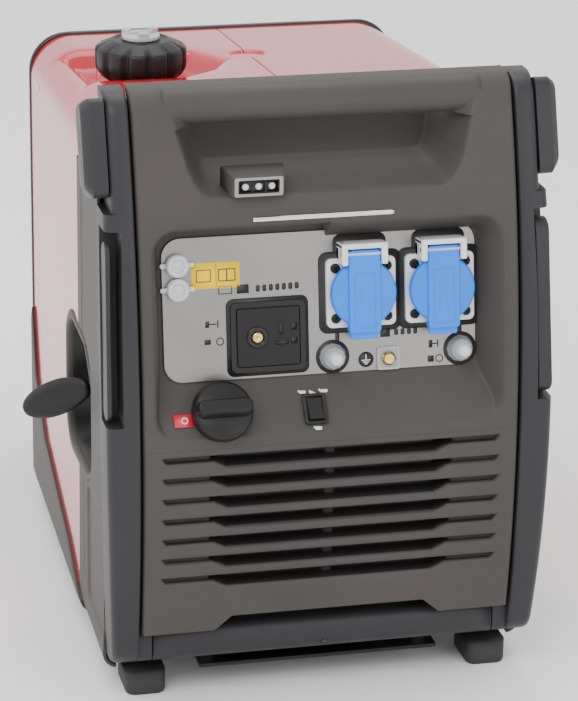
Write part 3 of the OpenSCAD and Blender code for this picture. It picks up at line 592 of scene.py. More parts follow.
def build_pillar(side, name, node):
    slot_lo, slot_hi = box_mm(f"{node.split('_')[0]}_carry_handle")
    low, high = slot_lo[2] - 3, slot_hi[2] + 9
    zs = sorted(set(list(np.linspace(PILLAR_LO[2], PILLAR_LO[2] + 16, 9)) + list(np.arange(60, TOP - 20, 9.0))
                    + list(np.linspace(TOP - 18, TOP - 2.2, 12)) + [PAD_LO[2] - 4.2, PAD_LO[2] - 3.8]))
    zs = [z for z in zs if abs(z - low) > 1.5 and abs(z - high) > 1.5] + [low, low + 0.3, high - 0.3, high]
    rings = [pillar_ring(z, side, low < z < high) for z in sorted(zs)]
    obj = loft(name, rings)
    toe = bmesh.new()
    toe.from_mesh(obj.data)
    lo_z = PILLAR_LO[2]
    y0 = float(front_y(lo_z)) + 4
    ring = rrect(26, 29, 9, y0 + 13, lo_z + 14.5)
    rows = [[(side * x, p[0], p[1]) for p in ring] for x in (PANEL_X - 9.5, PANEL_X + 8)]
    skin(toe, place_rings(toe, rows))
    bmesh.ops.recalc_face_normals(toe, faces=toe.faces)
    toe.to_mesh(obj.data)
    toe.free()
    soften(obj, 0.8, 2, 40)
    return finish_piece(obj, FRAME, "root", [node], smooth=True)


def build_carry_handle(side, node):
    """Flat round-ended bar standing in the pillar's slot; the right one is thicker, to fill its slot."""
    pivot = np.array(JOINTS[f"{node.split('_')[0]}_handle_fold"]["pos_m"]) / MM - (MID, 0, 0)
    length = 121.0
    half, thick = (9.6, 4.9) if side < 0 else (12.0, 12.4)
    tilt = math.atan2(float(front_y(393) - front_y(245)), 148)
    outline = []
    for cz, start in ((0, 180), (length, 0)):
        for i in range(13):
            a = math.radians(start + 180 * i / 12)
            outline.append((half * math.cos(a), cz + 9.6 * math.sin(a)))
    outer = side * (PILLAR_X - 0.9)
    inner = side * (PILLAR_X - thick)
    rows = []
    for x in (outer, inner):
        row = []
        for a, b in outline:
            y = pivot[1] + a * math.cos(tilt) + b * math.sin(tilt)
            z = pivot[2] - a * math.sin(tilt) + b * math.cos(tilt)
            row.append((x - side * pillar_bow(z), y, z))
        rows.append(row)
    obj = loft(node + "_bar", rows)
    soften(obj, 1.2, 3)
    return finish_piece(obj, FRAME, node, [node])


def build_painted_seam_shade():
    """Near-black strips behind the gaps between the panel and the pillars: painted shade for the gaps."""
    bm = bmesh.new()
    for side in (-1, 1):
        rows = []
        for z in np.linspace(PANEL_Z, TOP - 12, 60):
            y = float(front_y(z)) + 20
            rows.append([(side * (PANEL_X - 3), y, z), (side * (PANEL_X + 3.4), y, z),
                         (side * (PANEL_X + 3.4), y + 9, z), (side * (PANEL_X - 3), y + 9, z)])
        skin(bm, place_rings(bm, rows))
    finish_piece(from_bmesh("painted_seam_shade", bm), HOLLOW_SHADE, "root", smooth=False)


def build_pads():
    bm = bmesh.new()
    for side in (-1, 1):
        tilt = math.asin((TOP - 38.5 - BOW_Z) / BOW_R)
        cy, cz = float(front_y(TOP - 38.5)) + 18, TOP - 44.5
        rows = []
        for x, w, h, r, drop in ((PILLAR_X - 8.6, 32, 76, 7, 0), (PILLAR_X + 3.0, 32, 76, 7, 0),
                                 (PILLAR_X + 8.0, 25, 67, 7, 1.5), (PILLAR_X + 9.4, 21, 61, 6, 2.0)):
            row = []
            for a, b in rrect(w, h, r, 0, drop, 6):
                row.append((side * x, cy + a * math.cos(tilt) + b * math.sin(tilt),
                            cz - a * math.sin(tilt) + b * math.cos(tilt)))
            rows.append(row)
        skin(bm, place_rings(bm, rows))
    obj = from_bmesh("corner_bumpers", bm)
    soften(obj, 1.4, 3, 25)
    return finish_piece(obj, FRAME, "root", ["corner_pads"])


def build_cross_bar():
    lo, hi = box_mm("cross_bar")
    ring = rrect(hi[1] - lo[1], hi[2] - lo[2], 10, (lo[1] + hi[1]) / 2, (lo[2] + hi[2]) / 2)
    half = (hi[0] - lo[0]) / 2
    rows = [[(x, a, b) for a, b in ring] for x in np.linspace(-half, half, 14)]
    obj = loft("lower_bar", rows)
    bm = bmesh.new()
    add_lathe(bm, [(0, 0), (2.2, 0), (2.6, 0.4), (2.2, 0.9), (0, 0.7)], 20)
    hole = from_bmesh("lower_bar_plug", bm)
    m = upright(0, lo[1] - 0.2, lo[2] + 7) @ Matrix.Rotation(math.radians(90), 4, "X")
    finish_piece(hole, INK, "root", matrix=m)
    return finish_piece(obj, FRAME, "root", ["cross_bar"])


def build_feet():
    bm = bmesh.new()
    lo, hi = box_mm("front_feet")
    for side in (-1, 1):
        cy = (lo[1] + hi[1]) / 2
        rows = []
        for z, inset in ((0.0, 2.0), (1.2, 0.5), (3.0, 0.0), (hi[2], 0.0)):
            outline = rrect(33 - 2 * inset, 46 - 2 * inset, 8 - inset, side * 143.5, cy)
            rows.append([(a, b, z) for a, b in outline])
        skin(bm, place_rings(bm, rows))
    obj = from_bmesh("rubber_feet", bm)
    return finish_piece(obj, RUBBER, "root", ["front_feet"])


# ---------------------------------------------------------------- control panel pieces
def plate_piece(name, build, material, matrix, body="root", replaces=(),
                width=0.0, segments=3, smooth=True):
    """One piece built in the millimetres of the face that it stands on, then put in place."""
    bm = bmesh.new()
    build(bm)
    obj = from_bmesh(name, bm)
    finish_piece(obj, material, body, replaces, matrix, smooth)
    if width:
        soften(obj, width, segments)
    return obj


SOCKET_X = (28.0, 92.0)
SOCKET_S = 66.0
BREAKER_X = (5.0, 109.0)
BREAKER_S = 15.0
PLATE_TOP = 1.5
SCREW_X, SCREW_S = 21, 20
DC_X, DC_S, DC_BUTTON_X = -47, 35, -56
DC_SLOTS = ((10, 6, 3.4, 9), (11, -5, 10, 3.6))
EARTH_X, EARTH_S = 50, 11
JACK_X = -118
TAG_X, TAG_S = -117.5, -29
ROCKER_X, ROCKER_S = -13, -27
LED_STEP = 10.4


def build_plate():
    def body(bm):
        add_slab(bm, (252, 114, 15), (-4, 59), 0.6, PLATE_TOP)
    plate_piece("aluminium_face", body, PLATE, on_plate(0, 0),
                replaces=["control_plate"], width=0.3, segments=2)


def build_prints():
    """Black painted borders round the outlets and breakers, and plain printed signs."""
    h0, h1 = PLATE_TOP, PLATE_TOP + 0.25

    def borders(bm):
        for x, bx in zip(SOCKET_X, BREAKER_X):
            add_slab(bm, (67, 65, 7), (x, SOCKET_S), h0, h1)
            add_slab(bm, (43, 26, 6), (x, SOCKET_S + 33), h0, h1 - 0.02)
            add_slab(bm, (3.4, 26, 1), (bx + (4 if bx < 50 else 0), 27), h0, h1 - 0.04)
            add_prism(bm, circle(13.6, bx, BREAKER_S), h0, h1 - 0.01)
        add_slab(bm, (66, 62, 6), (DC_X, DC_S), h0, h1)
        add_prism(bm, circle(6.2, 32, 11), h0, h1)
    plate_piece("printed_borders", borders, INK, on_plate(0, 0))

    def signs(bm):
        for cx, cy, w, h in ((-95, 47, 3, 5), (-86.5, 47, 0.9, 6), (-95, 33, 5, 4), (48, 31.5, 8, 7),
                             (85, 20, 3, 6), (91, 20, 0.9, 6), (85, 8, 5, 5)):
            add_slab(bm, (w, h, 0.3), (cx, cy), h0, h1, 2)
        add_slab(bm, (6, 0.9, 0.2), (-90.5, 47), h0, h1, 2)
        add_slab(bm, (5, 0.9, 0.2), (88, 20), h0, h1, 2)
        add_ring(bm, circle(3.2, -85, 33, 24), circle(2.4, -85, 33, 24), h0, h1)
        add_ring(bm, circle(3.2, 92, 8, 24), circle(2.4, 92, 8, 24), h0, h1)
        add_frame(bm, (11, 6.6, 0.6), (9.6, 5.2, 0.4), (-80, 73.5), h0, h1, 2)
        add_slab(bm, (9.5, 7, 0.4), (-66, 73.5), h0, h1, 2)
        for i in range(7):
            add_slab(bm, (3.2, 5.2, 1.2), (-54 + i * 5.2, 73.2 + 0.1 * i), h0, h1, 3)
        for i in range(4):
            add_slab(bm, (3.2, 5.0, 1.2), (57.0 + i * 5.2, 31.5), h0, h1, 3)
    plate_piece("printed_signs", signs, INK, on_plate(0, 0))

    def earth_lines(bm):
        add_slab(bm, (0.7, 4.4, 0.2), (32, 12.8), h1, h1 + 0.12, 2)
        for i, w in enumerate((7.4, 5.0, 2.6)):
            add_slab(bm, (w, 0.7, 0.2), (32, 10.4 - 1.5 * i), h1, h1 + 0.12, 2)
    plate_piece("earth_lines", earth_lines, PRINT_WHITE, on_plate(0, 0))

    def label(bm):
        add_slab(bm, (38.5, 20.5, 1.2), (-87.5, 85.5), h0, h1)
    plate_piece("yellow_sticker", label, YELLOW, on_plate(0, 0))

    def label_marks(bm):
        add_frame(bm, (12, 10, 1), (10.6, 8.6, 0.6), (-97, 85.5), h1, h1 + 0.12, 2)
        add_slab(bm, (0.4, 18.5, 0.1), (-87, 85.5), h1, h1 + 0.1, 2)
        add_frame(bm, (14, 10, 1), (12.4, 8.4, 0.6), (-78.5, 85.5), h1, h1 + 0.12, 2)
        add_slab(bm, (0.9, 10, 0.2), (-78.5, 85.5), h1, h1 + 0.12, 2)
    plate_piece("sticker_marks", label_marks, INK, on_plate(0, 0), smooth=False)


def build_socket(x, side):
    """White flange with its raised hinge housing, rim, hinge pin and the blue sprung lid."""
    def flange(bm):
        add_slab(bm, (56, 55, 4.5), (0, 0), PLATE_TOP, 6.4)
        add_slab(bm, (37, 14, 2.0), (0, 31), PLATE_TOP, 8.6)
        add_slab(bm, (37, 4.2, 1.2), (0, 38.4), PLATE_TOP, 20.4)
        for i in (-1, 1):
            add_slab(bm, (5.0, 17, 1.4), (i * 16.0, 32), PLATE_TOP, 20.2)
    plate_piece(side + "_flange", flange, WHITE, on_plate(x, SOCKET_S),
                replaces=[side + "_socket"], width=0.8)

    def well(bm):
        add_lathe(bm, [(20.5, 6.5), (21.2, 6.9), (22.6, 6.9), (23.2, 6.45)], 48)
        add_lathe(bm, [(0, -20), (20, -20), (20.3, 6.6), (21, 6.8)], 48)
    plate_piece(side + "_well", well, WHITE, on_plate(x, SOCKET_S))

    def lid(bm):
        disc = [(0, 9.2), (25.4, 9.2), (26.6, 10.2), (26.6, 13.4), (25.8, 15.2), (24.6, 15.8), (0, 16.4)]
        add_lathe(bm, disc, 72)
        add_slab(bm, (25.5, 65.5, 2.5), (0, 2.2), 9.6, 18.4)
        add_prism(bm, [(-12.7, -24), (12.7, -24), (10.8, -36), (-10.8, -36)], 9.4, 15.6)
    plate_piece(side + "_lid_shell", lid, BLUE, on_plate(x, SOCKET_S), side + "_lid",
                          [side + "_lid"], width=0.9)

    def lid_relief(bm):
        add_frame(bm, (17, 44, 1.5), (15.4, 42.4, 1.0), (0, -5), 18.3, 18.75)
        add_slab(bm, (7, 30, 1.0), (0, -5), 18.3, 18.7)
    plate_piece(side + "_lid_relief", lid_relief, BLUE, on_plate(x, SOCKET_S),
                side + "_lid", width=0.25)

    def pin(bm):
        add_lathe(bm, [(0, -18.6), (1.5, -18.6), (1.7, -18.3), (1.7, 18.3), (1.5, 18.6), (0, 18.6)], 20)
    m = on_plate(x, SOCKET_S + 32, 17) @ Matrix.Rotation(math.radians(90), 4, "Y")
    plate_piece(side + "_hinge_pin", pin, STEEL, m)


def build_screws():
    """Domed cross-slot screws at the corners of both flanges."""
    head = [(0, 7.2), (1.2, 7.2), (1.5, 8.0), (3.6, 7.7), (3.9, 6.9), (3.9, 6.3), (0, 6.3)]
    half_l, half_w = 2.6, 0.45
    slot = ((-half_l, -half_w), (half_l, -half_w), (half_l, half_w), (-half_l, half_w))
    first_turn = 0.4

    def screws(bm):
        for x, i, j in itertools.product(SOCKET_X, (-1, 1), (-1, 1)):
            cx, cy = x + i * SCREW_X, SOCKET_S + j * SCREW_S
            add_lathe_at(bm, head, 24, cx, cy)
            for ang in (first_turn, first_turn + math.pi / 2):
                c, s = math.cos(ang), math.sin(ang)
                add_prism(bm, [(cx + u * c - v * s, cy + u * s + v * c) for u, v in slot], 7.0, 8.15)
    plate_piece("flange_screws", screws, BLACK, on_plate(0, 0), replaces=["socket_screws"])


def build_dc():
    def surround(bm):
        add_frame(bm, (60, 56, 5), (51, 47, 2.5), (0, 0), PLATE_TOP, 4.4)
        add_slab(bm, (51.6, 47.6, 2.5), (0, 0), PLATE_TOP, 3.4)
    plate_piece("dc_surround", surround, GLOSS_BLACK, on_plate(DC_X, DC_S),
                replaces=["dc_outlet"], width=0.5)

    def cover(bm):
        add_slab(bm, (50, 46, 1.5), (0, 0), 3.3, 5.2)
    plate_piece("dc_cover", cover, BLACK, on_plate(DC_X, DC_S), width=0.6)

    def slots(bm):
        for cx, cy, w, h in DC_SLOTS:
            add_frame(bm, (w + 2.4, h + 2.4, 0.8), (w, h, 0.5), (cx, cy), 5.1, 5.7, 3)
        for cy in (7, -4):
            add_slab(bm, (5, 5, 0.5), (20.5, cy), 5.1, 5.5, 2)
    plate_piece("dc_slot_rims", slots, GLOSS_BLACK, on_plate(DC_X, DC_S))

    # Near-black floors at the bottom of the DC slots: painted shade in the holes.
    def holes(bm):
        for cx, cy, w, h in DC_SLOTS:
            add_slab(bm, (w, h, 0.5), (cx, cy), 5.1, 5.3, 3)
    plate_piece("dc_slot_shade_floor", holes, HOLLOW_SHADE, on_plate(DC_X, DC_S))

    def jack(bm):
        add_lathe(bm, [(4.9, 5.0), (5.2, 6.4), (7.6, 6.6), (8.6, 5.9), (8.8, 5.1)], 40)
    plate_piece("dc_jack_ring", jack, GLOSS_BLACK, on_plate(DC_BUTTON_X, DC_S))

    def button(bm):
        add_lathe(bm, [(0, 6.6), (1.1, 6.5), (1.4, 7.4), (2.6, 7.5), (3.9, 7.0), (4.4, 6.2), (4.5, 3.9),
                       (0, 3.9)], 32)
    plate_piece("dc_button", button, BRASS, on_plate(DC_BUTTON_X, DC_S), "dc_breaker",
                ["dc_breaker"])


def build_breaker(x, side):
    def nut(bm):
        add_lathe(bm, [(0, -2), (10.6, -2), (10.8, 2.4), (10.2, 4.4), (9.2, 5.2), (8.8, 8.2), (8.0, 9.2),
                       (5.6, 9.6), (0, 9.6)], 12)
    plate_piece(side + "_breaker_boot", nut, CLEAR, on_plate(x, BREAKER_S),
                side + "_breaker", [side + "_breaker"], width=0.8)

    def nipple(bm):
        tip = [(0, 5.0), (5.4, 5.0), (5.6, 9.4), (5.3, 15.5), (4.4, 17.6), (2.2, 18.6), (0, 18.8)]
        add_lathe(bm, tip, 40)
    plate_piece(side + "_breaker_tip", nipple, MILKY, on_plate(x, BREAKER_S),
                side + "_breaker")

    def core(bm):
        add_lathe(bm, [(0, 19.05), (0.9, 19.0), (1.3, 18.7), (1.0, 18.4), (0, 18.4)], 20)
    plate_piece(side + "_breaker_core", core, WHITE, on_plate(x, BREAKER_S),
                side + "_breaker")


def build_earth():
    def tray(bm):
        add_frame(bm, (18, 18, 2), (14.4, 14.4, 1.2), (0, 0), PLATE_TOP, 3.4)
        add_slab(bm, (14.6, 14.6, 1.2), (0, 0), PLATE_TOP, 2.0)
        add_lathe(bm, [(0, 3.0), (5.9, 3.0), (6.2, 2.0)], 32)
    plate_piece("earth_tray", tray, CLEAR, on_plate(EARTH_X, EARTH_S),
                replaces=["earth_terminal"], width=0.3)

    def screw(bm):
        add_lathe(bm, [(0, 6.3), (1.0, 6.2), (1.5, 7.0), (3.6, 7.0), (4.5, 6.2), (4.6, 4.2), (5.6, 4.0),
                       (5.6, 3.0), (0, 3.0)], 32)
    plate_piece("earth_bolt", screw, BRASS, on_plate(EARTH_X, EARTH_S), replaces=["earth_screw"])


def build_jacks():
    for s, side in ((95, "upper"), (76, "lower")):
        def cap(bm):
            add_lathe(bm, [(0, 6.4), (2.0, 6.4), (2.4, 5.6), (5.0, 5.6), (5.6, 7.6), (7.6, 8.0), (8.9, 6.6),
                           (9.3, 2.6), (8.8, 2.2), (0, 2.2)], 40)
            for i in (-1, 1):
                add_slab(bm, (6, 3.6, 1.2), (i * 10.6, 0.2), 2.2, 4.0, 4)
        plate_piece(side + "_rubber_cap", cap, MILKY, on_plate(JACK_X, s),
                    side + "_jack_cap", [side + "_jack_cap"], width=0.3)


def build_knob():
    def knob(bm):
        dial = [(0, 1.2), (23.2, 1.2), (24.0, 2.4), (24.0, 9.0), (23.0, 12.0), (20.5, 13.6), (0, 14.2)]
        add_lathe(bm, dial, 72)
    plate_piece("knob_base", knob, BLACK, on_shelf(KNOB_X, KNOB_S), "engine_switch",
                ["engine_switch"])

    def grip(bm):
        rows = []
        for z, w, d in ((6.0, 45, 17), (14.5, 45, 14.5), (21.5, 43.5, 11.5), (23.6, 41.5, 9.5)):
            rows.append([(a, b, z) for a, b in rrect(w, d, min(w, d) / 2 - 0.6, 0, 0, 10)])
        skin(bm, [[bm.verts.new(p) for p in row] for row in rows])
    plate_piece("knob_grip", grip, BLACK, on_shelf(KNOB_X, KNOB_S), "engine_switch",
                width=1.2)

    def tag(bm):
        add_slab(bm, (17, 10.5, 1.0), (TAG_X, TAG_S), 0.4, 0.75)
    plate_piece("off_tag", tag, PRINT_RED, on_shelf(0, 0))

    def ring(bm):
        add_ring(bm, circle(2.8, TAG_X, TAG_S, 24), circle(1.8, TAG_X, TAG_S, 24), 0.75, 0.88)
    plate_piece("off_ring", ring, PRINT_WHITE, on_shelf(0, 0))


def build_rocker():
    def bezel(bm):
        add_frame(bm, (18.5, 24.5, 1.8), (12.8, 20.4, 0.8), (0, 0), 0.2, 3.0)
    plate_piece("rocker_bezel", bezel, GLOSS_BLACK, on_shelf(ROCKER_X, ROCKER_S),
                width=0.5)

    def paddle(bm):
        side = [(-9.0, -3.0), (9.0, -3.0), (9.0, 2.4), (0.0, 3.4), (-9.0, 5.6)]
        skin(bm, [[bm.verts.new((x, a, b)) for a, b in side] for x in (-6.0, 6.0)])
    plate_piece("rocker_paddle", paddle, BLACK, on_shelf(ROCKER_X, ROCKER_S),
                "eco_switch", ["eco_switch"], width=0.6)

    def marks(bm):
        for cx, cy, w, h in ((-21, -12.5, 5.5, 2.6), (-4, -12.5, 6.5, 2.6), (-12, -42.5, 5.5, 3.0)):
            add_slab(bm, (w, h, 1.2), (cx, cy), 0.4, 0.6, 5)
            add_prism(bm, circle(1.0, cx - w / 2 - 0.2, cy + 0.9, 12), 0.4, 0.6)
        add_prism(bm, [(-16, -14), (-10, -14), (-16, -11)], 0.4, 0.6)
    plate_piece("speed_marks", marks, PRINT_WHITE, on_shelf(0, 0))


def build_indicator():
    lo, hi = box_mm("indicator_box")
    cx, cz = (lo[0] + hi[0]) / 2 - MID, (lo[2] + hi[2]) / 2
    face = lo[1] - 1.5

    def ring(w, h, y):
        return [(a, y, b) for a, b in rrect(w, h, 1.6, cx, cz)]
    rows = [ring(w, h, face + back) for w, h, back in ((33, 10.5, 2.2), (35.5, 12.6, 0.6), (38.5, 15.5, 0),
                                                       (40.5, 17, 0.9), (44, 19.5, 10), (50, 21, 26))]
    body = loft("indicator_housing", rows)
    finish_piece(body, PANEL, "root", ["indicator_box"])
    bm = bmesh.new()
    for i in (-1, 0, 1):
        c = cx + i * LED_STEP
        add_frame(bm, (10.2, 9.6, 0.9), (9.2, 8.6, 0.6), (c, cz), -0.9, 0.9, 4)
    frame_obj = from_bmesh("indicator_frames", bm)
    turn = Matrix(((MM, 0, 0, MID * MM), (0, 0, -MM, (face + 1.0) * MM), (0, MM, 0, 0), (0, 0, 0, 1)))
    finish_piece(frame_obj, GLOSS_BLACK, "root", matrix=turn)
    bm = bmesh.new()
    add_frame(bm, (38.2, 15.2, 1.6), (32.2, 10.6, 1.2), (cx, cz), 0.2, 1.3)
    rim = finish_piece(from_bmesh("indicator_rim", bm), LIGHT_GREY, "root", matrix=turn)
    soften(rim, 0.4, 2)
    bm = bmesh.new()
    for i in (-1, 0, 1):
        add_lathe_at(bm, [(0, 1.8), (1.6, 1.5), (2.6, 0.4), (2.8, -1.0)], 24, cx + i * LED_STEP, cz)
    led = from_bmesh("indicator_leds", bm)
    finish_piece(led, LENS, "root", ["indicator_lenses"], matrix=turn)
    bm = bmesh.new()
    add_slab(bm, (32.6, 11.0, 1.0), (cx, cz), -1.2, -0.4)
    finish_piece(from_bmesh("indicator_well", bm), GLOSS_BLACK, "root", matrix=turn)


def build_trim():
    """Plain bright strip above the recess."""
    section = ((-0.55, 4.6), (-0.95, 5.2), (-0.95, 7.6), (-0.45, 8.2), (1.5, 8.2), (1.5, 4.6))
    rows = []
    for x in np.linspace(-61, 51, 40):
        y = float(front_y(MOUTH_TOP + 6.5))
        rows.append([(x, y + out, MOUTH_TOP + rise) for out, rise in section])
    finish_piece(loft("trim_strip", rows), CHROME, "root")


# ---------------------------------------------------------------- casing sides and top
BODY_FRONT = FRONT + 5
RIM_Y = float(box_mm("rear_cover")[0][1])
BODY_TOP = TOP - 26
SHOULDER = 34.0
SIDE_HALF = 175
REAR_DROP = 30
WALL_LOW, WALL_TOP = 31, BODY_TOP - 46
STEP_LOW = BODY_TOP - 56
DISH_LOW = BODY_TOP - 60
COVER_START, COVER_END = PANEL_HI[1] + 1.2, RIM_Y - 0.6
COVER_Y = FRONT + 174
SEAM_X = 3.0
SKIRT = [(190, RIM_Y), (130, 128), (90, 70), (54, -79), (28, -146)]
PLUG_LO, PLUG_HI = box_mm("plug_cover")
PLUG = ((PLUG_LO + PLUG_HI) / 2)[:2] - (MID, 0)
CAP_LO, CAP_HI = box_mm("fuel_cap")
FILLER = ((CAP_LO + CAP_HI) / 2)[:2] - (MID, 0)
BASIN = [(-151, -60), (-72, -64), (-38, -34), (-21, 2), (-40, 46), (-75, 76), (-151, 74)]
BEZEL_LO, BEZEL_HI = box_mm("starter_bezel")
BEZEL_Y, BEZEL_Z = ((BEZEL_LO + BEZEL_HI) / 2)[1:]
BEZEL_W, BEZEL_H = (BEZEL_HI - BEZEL_LO)[1:]


def side_x(y):
    """Half width of the casing, which narrows toward the rear."""
    return SIDE_HALF - 11 * (np.asarray(y, float) - BODY_FRONT) / (RIM_Y - BODY_FRONT)


def top_z(y):
    """Height of the casing's top, which falls toward the rear."""
    return BODY_TOP - REAR_DROP * (np.asarray(y, float) - BODY_FRONT) / (RIM_Y - BODY_FRONT)


def skirt_y(z):
    """Depth of the skirt's swept edge at a height."""
    zs, ys = zip(*SKIRT[::-1])
    return np.interp(z, zs, ys)


def skirt_z(y):
    """Height of the skirt's swept edge at a depth."""
    zs, ys = zip(*SKIRT[::-1])
    return np.interp(y, ys, zs)


def cover_front(x, z):
    """Front limit of a red cover for a section point."""
    if z > WALL_TOP:
        pocket = COVER_START if abs(x) < 125.5 else -1e3
        return max(float(front_y(z)) + 34.8, pocket)
    if z > STEP_LOW:
        return float(np.interp(z, [STEP_LOW, WALL_TOP], [COVER_Y, FRONT + 70]))
    if z > 170:
        return COVER_Y
    return float(np.interp(z, [30, 170], [COVER_Y + 6, COVER_Y]))


def cover_mesh(side):
    """Red cover: flat top with a soft shoulder, side wall that narrows to a point low at the front."""
    fine = np.linspace(PLUG[1] - 19, PLUG[1] + 19, 44)
    span = COVER_END - COVER_START
    ys = np.concatenate([np.linspace(COVER_START, PLUG[1] - 20, 44), fine,
                         np.linspace(PLUG[1] + 20, COVER_END, 48)])
    q = (ys - ys[0]) / span
    plan = []
    top_half = SIDE_HALF - SHOULDER
    start = SEAM_X + side * 0.45
    xs = np.concatenate([np.linspace(start, SEAM_X + side * 19, 20),
                         np.linspace(SEAM_X + side * 21, side * 125.2, 44),
                         [side * 125.8], np.linspace(side * 128, side * top_half, 7)])
    for x in xs:
        plan.append((x, None, 0))
    for i in range(1, 17):
        plan.append((None, math.radians(90 * i / 16), 0))
    side_z = np.concatenate([[WALL_TOP - 0.1, WALL_TOP - 1], np.linspace(STEP_LOW, WALL_LOW, 96)])
    for z in side_z:
        plan.append((None, None, z))
    rows = []
    for x, ang, z in plan:
        y_mid = -60.0
        if x is not None:
            zz = float(top_z(y_mid))
            yf, yr = cover_front(x, zz), COVER_END
        elif ang is not None:
            zz = float(top_z(y_mid)) - SHOULDER * (1 - math.cos(ang))
            yf, yr = cover_front(140, zz + 6), COVER_END
        else:
            yf, yr = cover_front(160, z), min(COVER_END, float(skirt_y(z)))
        y = yf + (yr - yf) * q
        half = side_x(y)
        top = top_z(y)
        if x is not None:
            shrink = np.where(np.abs(x) > 100, (np.abs(x) - 100) / (top_half - 100), 0)
            px = x + side * shrink * (half - SIDE_HALF)
            pz = top + 0 * y
        elif ang is not None:
            px = side * (half - SHOULDER + SHOULDER * math.sin(ang))
            pz = top - SHOULDER * (1 - math.cos(ang))
        else:
            px = side * half
            low_lift = (z - WALL_LOW) / (WALL_TOP - WALL_LOW)
            pz = z + low_lift * (top - SHOULDER - WALL_TOP)
        rows.append(np.stack([px + 0 * y, y, pz + 0 * y], -1))
    return np.stack(rows)


def dish(points, side):
    """Sinks the filler basin and the plug well into a cover."""
    x, y, z = points[..., 0], points[..., 1], points[..., 2]
    sink = np.zeros(x.shape)
    if side < 0:
        d = smooth_min(inside_poly(x, y, BASIN), 40, 6)
        sink = np.where(z > DISH_LOW, smooth_min(wall(d, 1.5, 4.0), 17.5, 5), 0)
        neck = 27 - np.hypot(x - FILLER[0], y - FILLER[1])
        sink = sink + np.clip(neck * 3, 0, 5)
    plug = 15.7 - np.hypot(x - PLUG[0], y - PLUG[1])
    sink = sink + np.where(z > DISH_LOW, np.clip(wall(plug, 7.0, 0.5), 0, 6.2), 0)
    out = points.copy()
    out[..., 2] = z - np.maximum(sink, 0)
    return out


def thicken(obj, thick, round_w=0.9):
    """Gives an open sheet its wall and softens the edges."""
    solid = obj.modifiers.new("wall", "SOLIDIFY")
    solid.thickness = thick * MM
    solid.offset = -1.0
    soften(obj, round_w, 2, 50)
    return obj


def in_recess(points):
    """True where a point of the left side lies in the starter recess opening."""
    across, high = BEZEL_W / 2 - 2, BEZEL_H / 2 - 2
    return inside_rrect(points[..., 1], points[..., 2], BEZEL_Y, BEZEL_Z, across, high, 32) > 0


def build_cover(side, node):
    pts = dish(cover_mesh(side), side)
    keep = None
    if side < 0:
        c = face_middles(pts)
        low = c[..., 2] < DISH_LOW
        keep = ~(low & in_recess(c))
    pts = pts + MID_SHIFT
    obj = grid_mesh(node + "_shell", pts, keep, flip=side < 0)
    thicken(obj, 2.4)
    return finish_piece(obj, [RED], "root", [node])


def build_surround(side, node):
    zs = np.concatenate([np.linspace(20.4, 32, 10), np.linspace(34, WALL_TOP - 0.6, 150)])
    q = np.linspace(0, 1, 64)
    rows = []
    for z in zs:
        yf = float(front_y(z)) + 34.4
        yr = -148.0 if z < 30 else cover_front(160, min(z, STEP_LOW)) - 0.7
        if z > STEP_LOW:
            yr = float(np.interp(z, [STEP_LOW, WALL_TOP], [COVER_Y - 0.7, FRONT + 69]))
        y = yf + (yr - yf) * q
        x = side_x(y)
        if z < 32:
            x = x - 12 + math.sqrt(max(0.0, 144 - (32 - z) ** 2))
        groove = np.exp(-((y + 159) / 1.1) ** 2) + np.exp(-((y + 164.5) / 1.1) ** 2)
        x = x - 0.9 * groove * (60 < z < BODY_TOP - 70)
        panel = inside_rrect(y, np.full_like(y, z), -222, 98, 44, 52, 12)
        x = x - np.clip(wall(panel, 0.9, 0.8), 0, 2.0)
        rows.append(np.stack([side * x, y, np.full_like(y, z)], -1))
    pts = np.stack(rows)
    keep = None
    if side < 0:
        c = face_middles(pts)
        keep = ~in_recess(c)
    obj = grid_mesh(node + "_wall", pts + MID_SHIFT, keep, flip=side > 0)
    thicken(obj, 2.4, 0.7)
    return finish_piece(obj, PANEL, "root", [node])


def build_skirt(side, node):
    ys = np.linspace(-146, RIM_Y, 150)
    q = np.linspace(0, 1, 26)
    rows = []
    for y in ys:
        low, high = 18.5, max(float(skirt_z(y)), 28.0)
        z = low + (high - low) * q
        x = float(side_x(y)) + 2 - np.where(z < 32, 14 - np.sqrt(np.maximum(0, 196 - (32 - z) ** 2)), 0)
        lip = np.clip((high - z) - 3.0, 0, 1.2)
        rows.append(np.stack([side * (x - 0.8 + 0.8 * lip / 1.2), np.full_like(z, y), z], -1))
    obj = grid_mesh(node + "_shell", np.stack(rows) + MID_SHIFT, None, flip=side < 0)
    thicken(obj, 3.6, 0.8)
    finish_piece(obj, PANEL, "root", [node])
    # Darker red strip along the skirt's top edge: painted shade where the red cover ends.
    line = []
    for y in ys[2:]:
        z = max(float(skirt_z(y)), 28.0)
        x = float(side_x(y))
        line.append([(side * (x - 1.5), y, z), (side * (x + 1.2), y, z), (side * (x + 1.1), y, z + 2.6),
                     (side * (x - 1.5), y, z + 2.9)])
    strip = loft(node + "_line", line)
    finish_piece(strip, SHADED_RED, "root")


def side_matrix(y, z):
    """Local X toward the front, Y up, Z out of the left side; local units mm."""
    m = Matrix(((0, 0, -1, 0), (-1, 0, 0, 0), (0, 1, 0, 0), (0, 0, 0, 1))) @ Matrix.Scale(MM, 4)
    return Matrix.Translation(Vector(((MID - float(side_x(y))) * MM, y * MM, z * MM))) @ m


def funnel(bm, steps):
    """Skins outlines given as (outline, height), and returns their rows of vertices."""
    rows = [[bm.verts.new((a, b, h)) for a, b in outline] for outline, h in steps]
    skin(bm, rows, caps=False)
    return rows


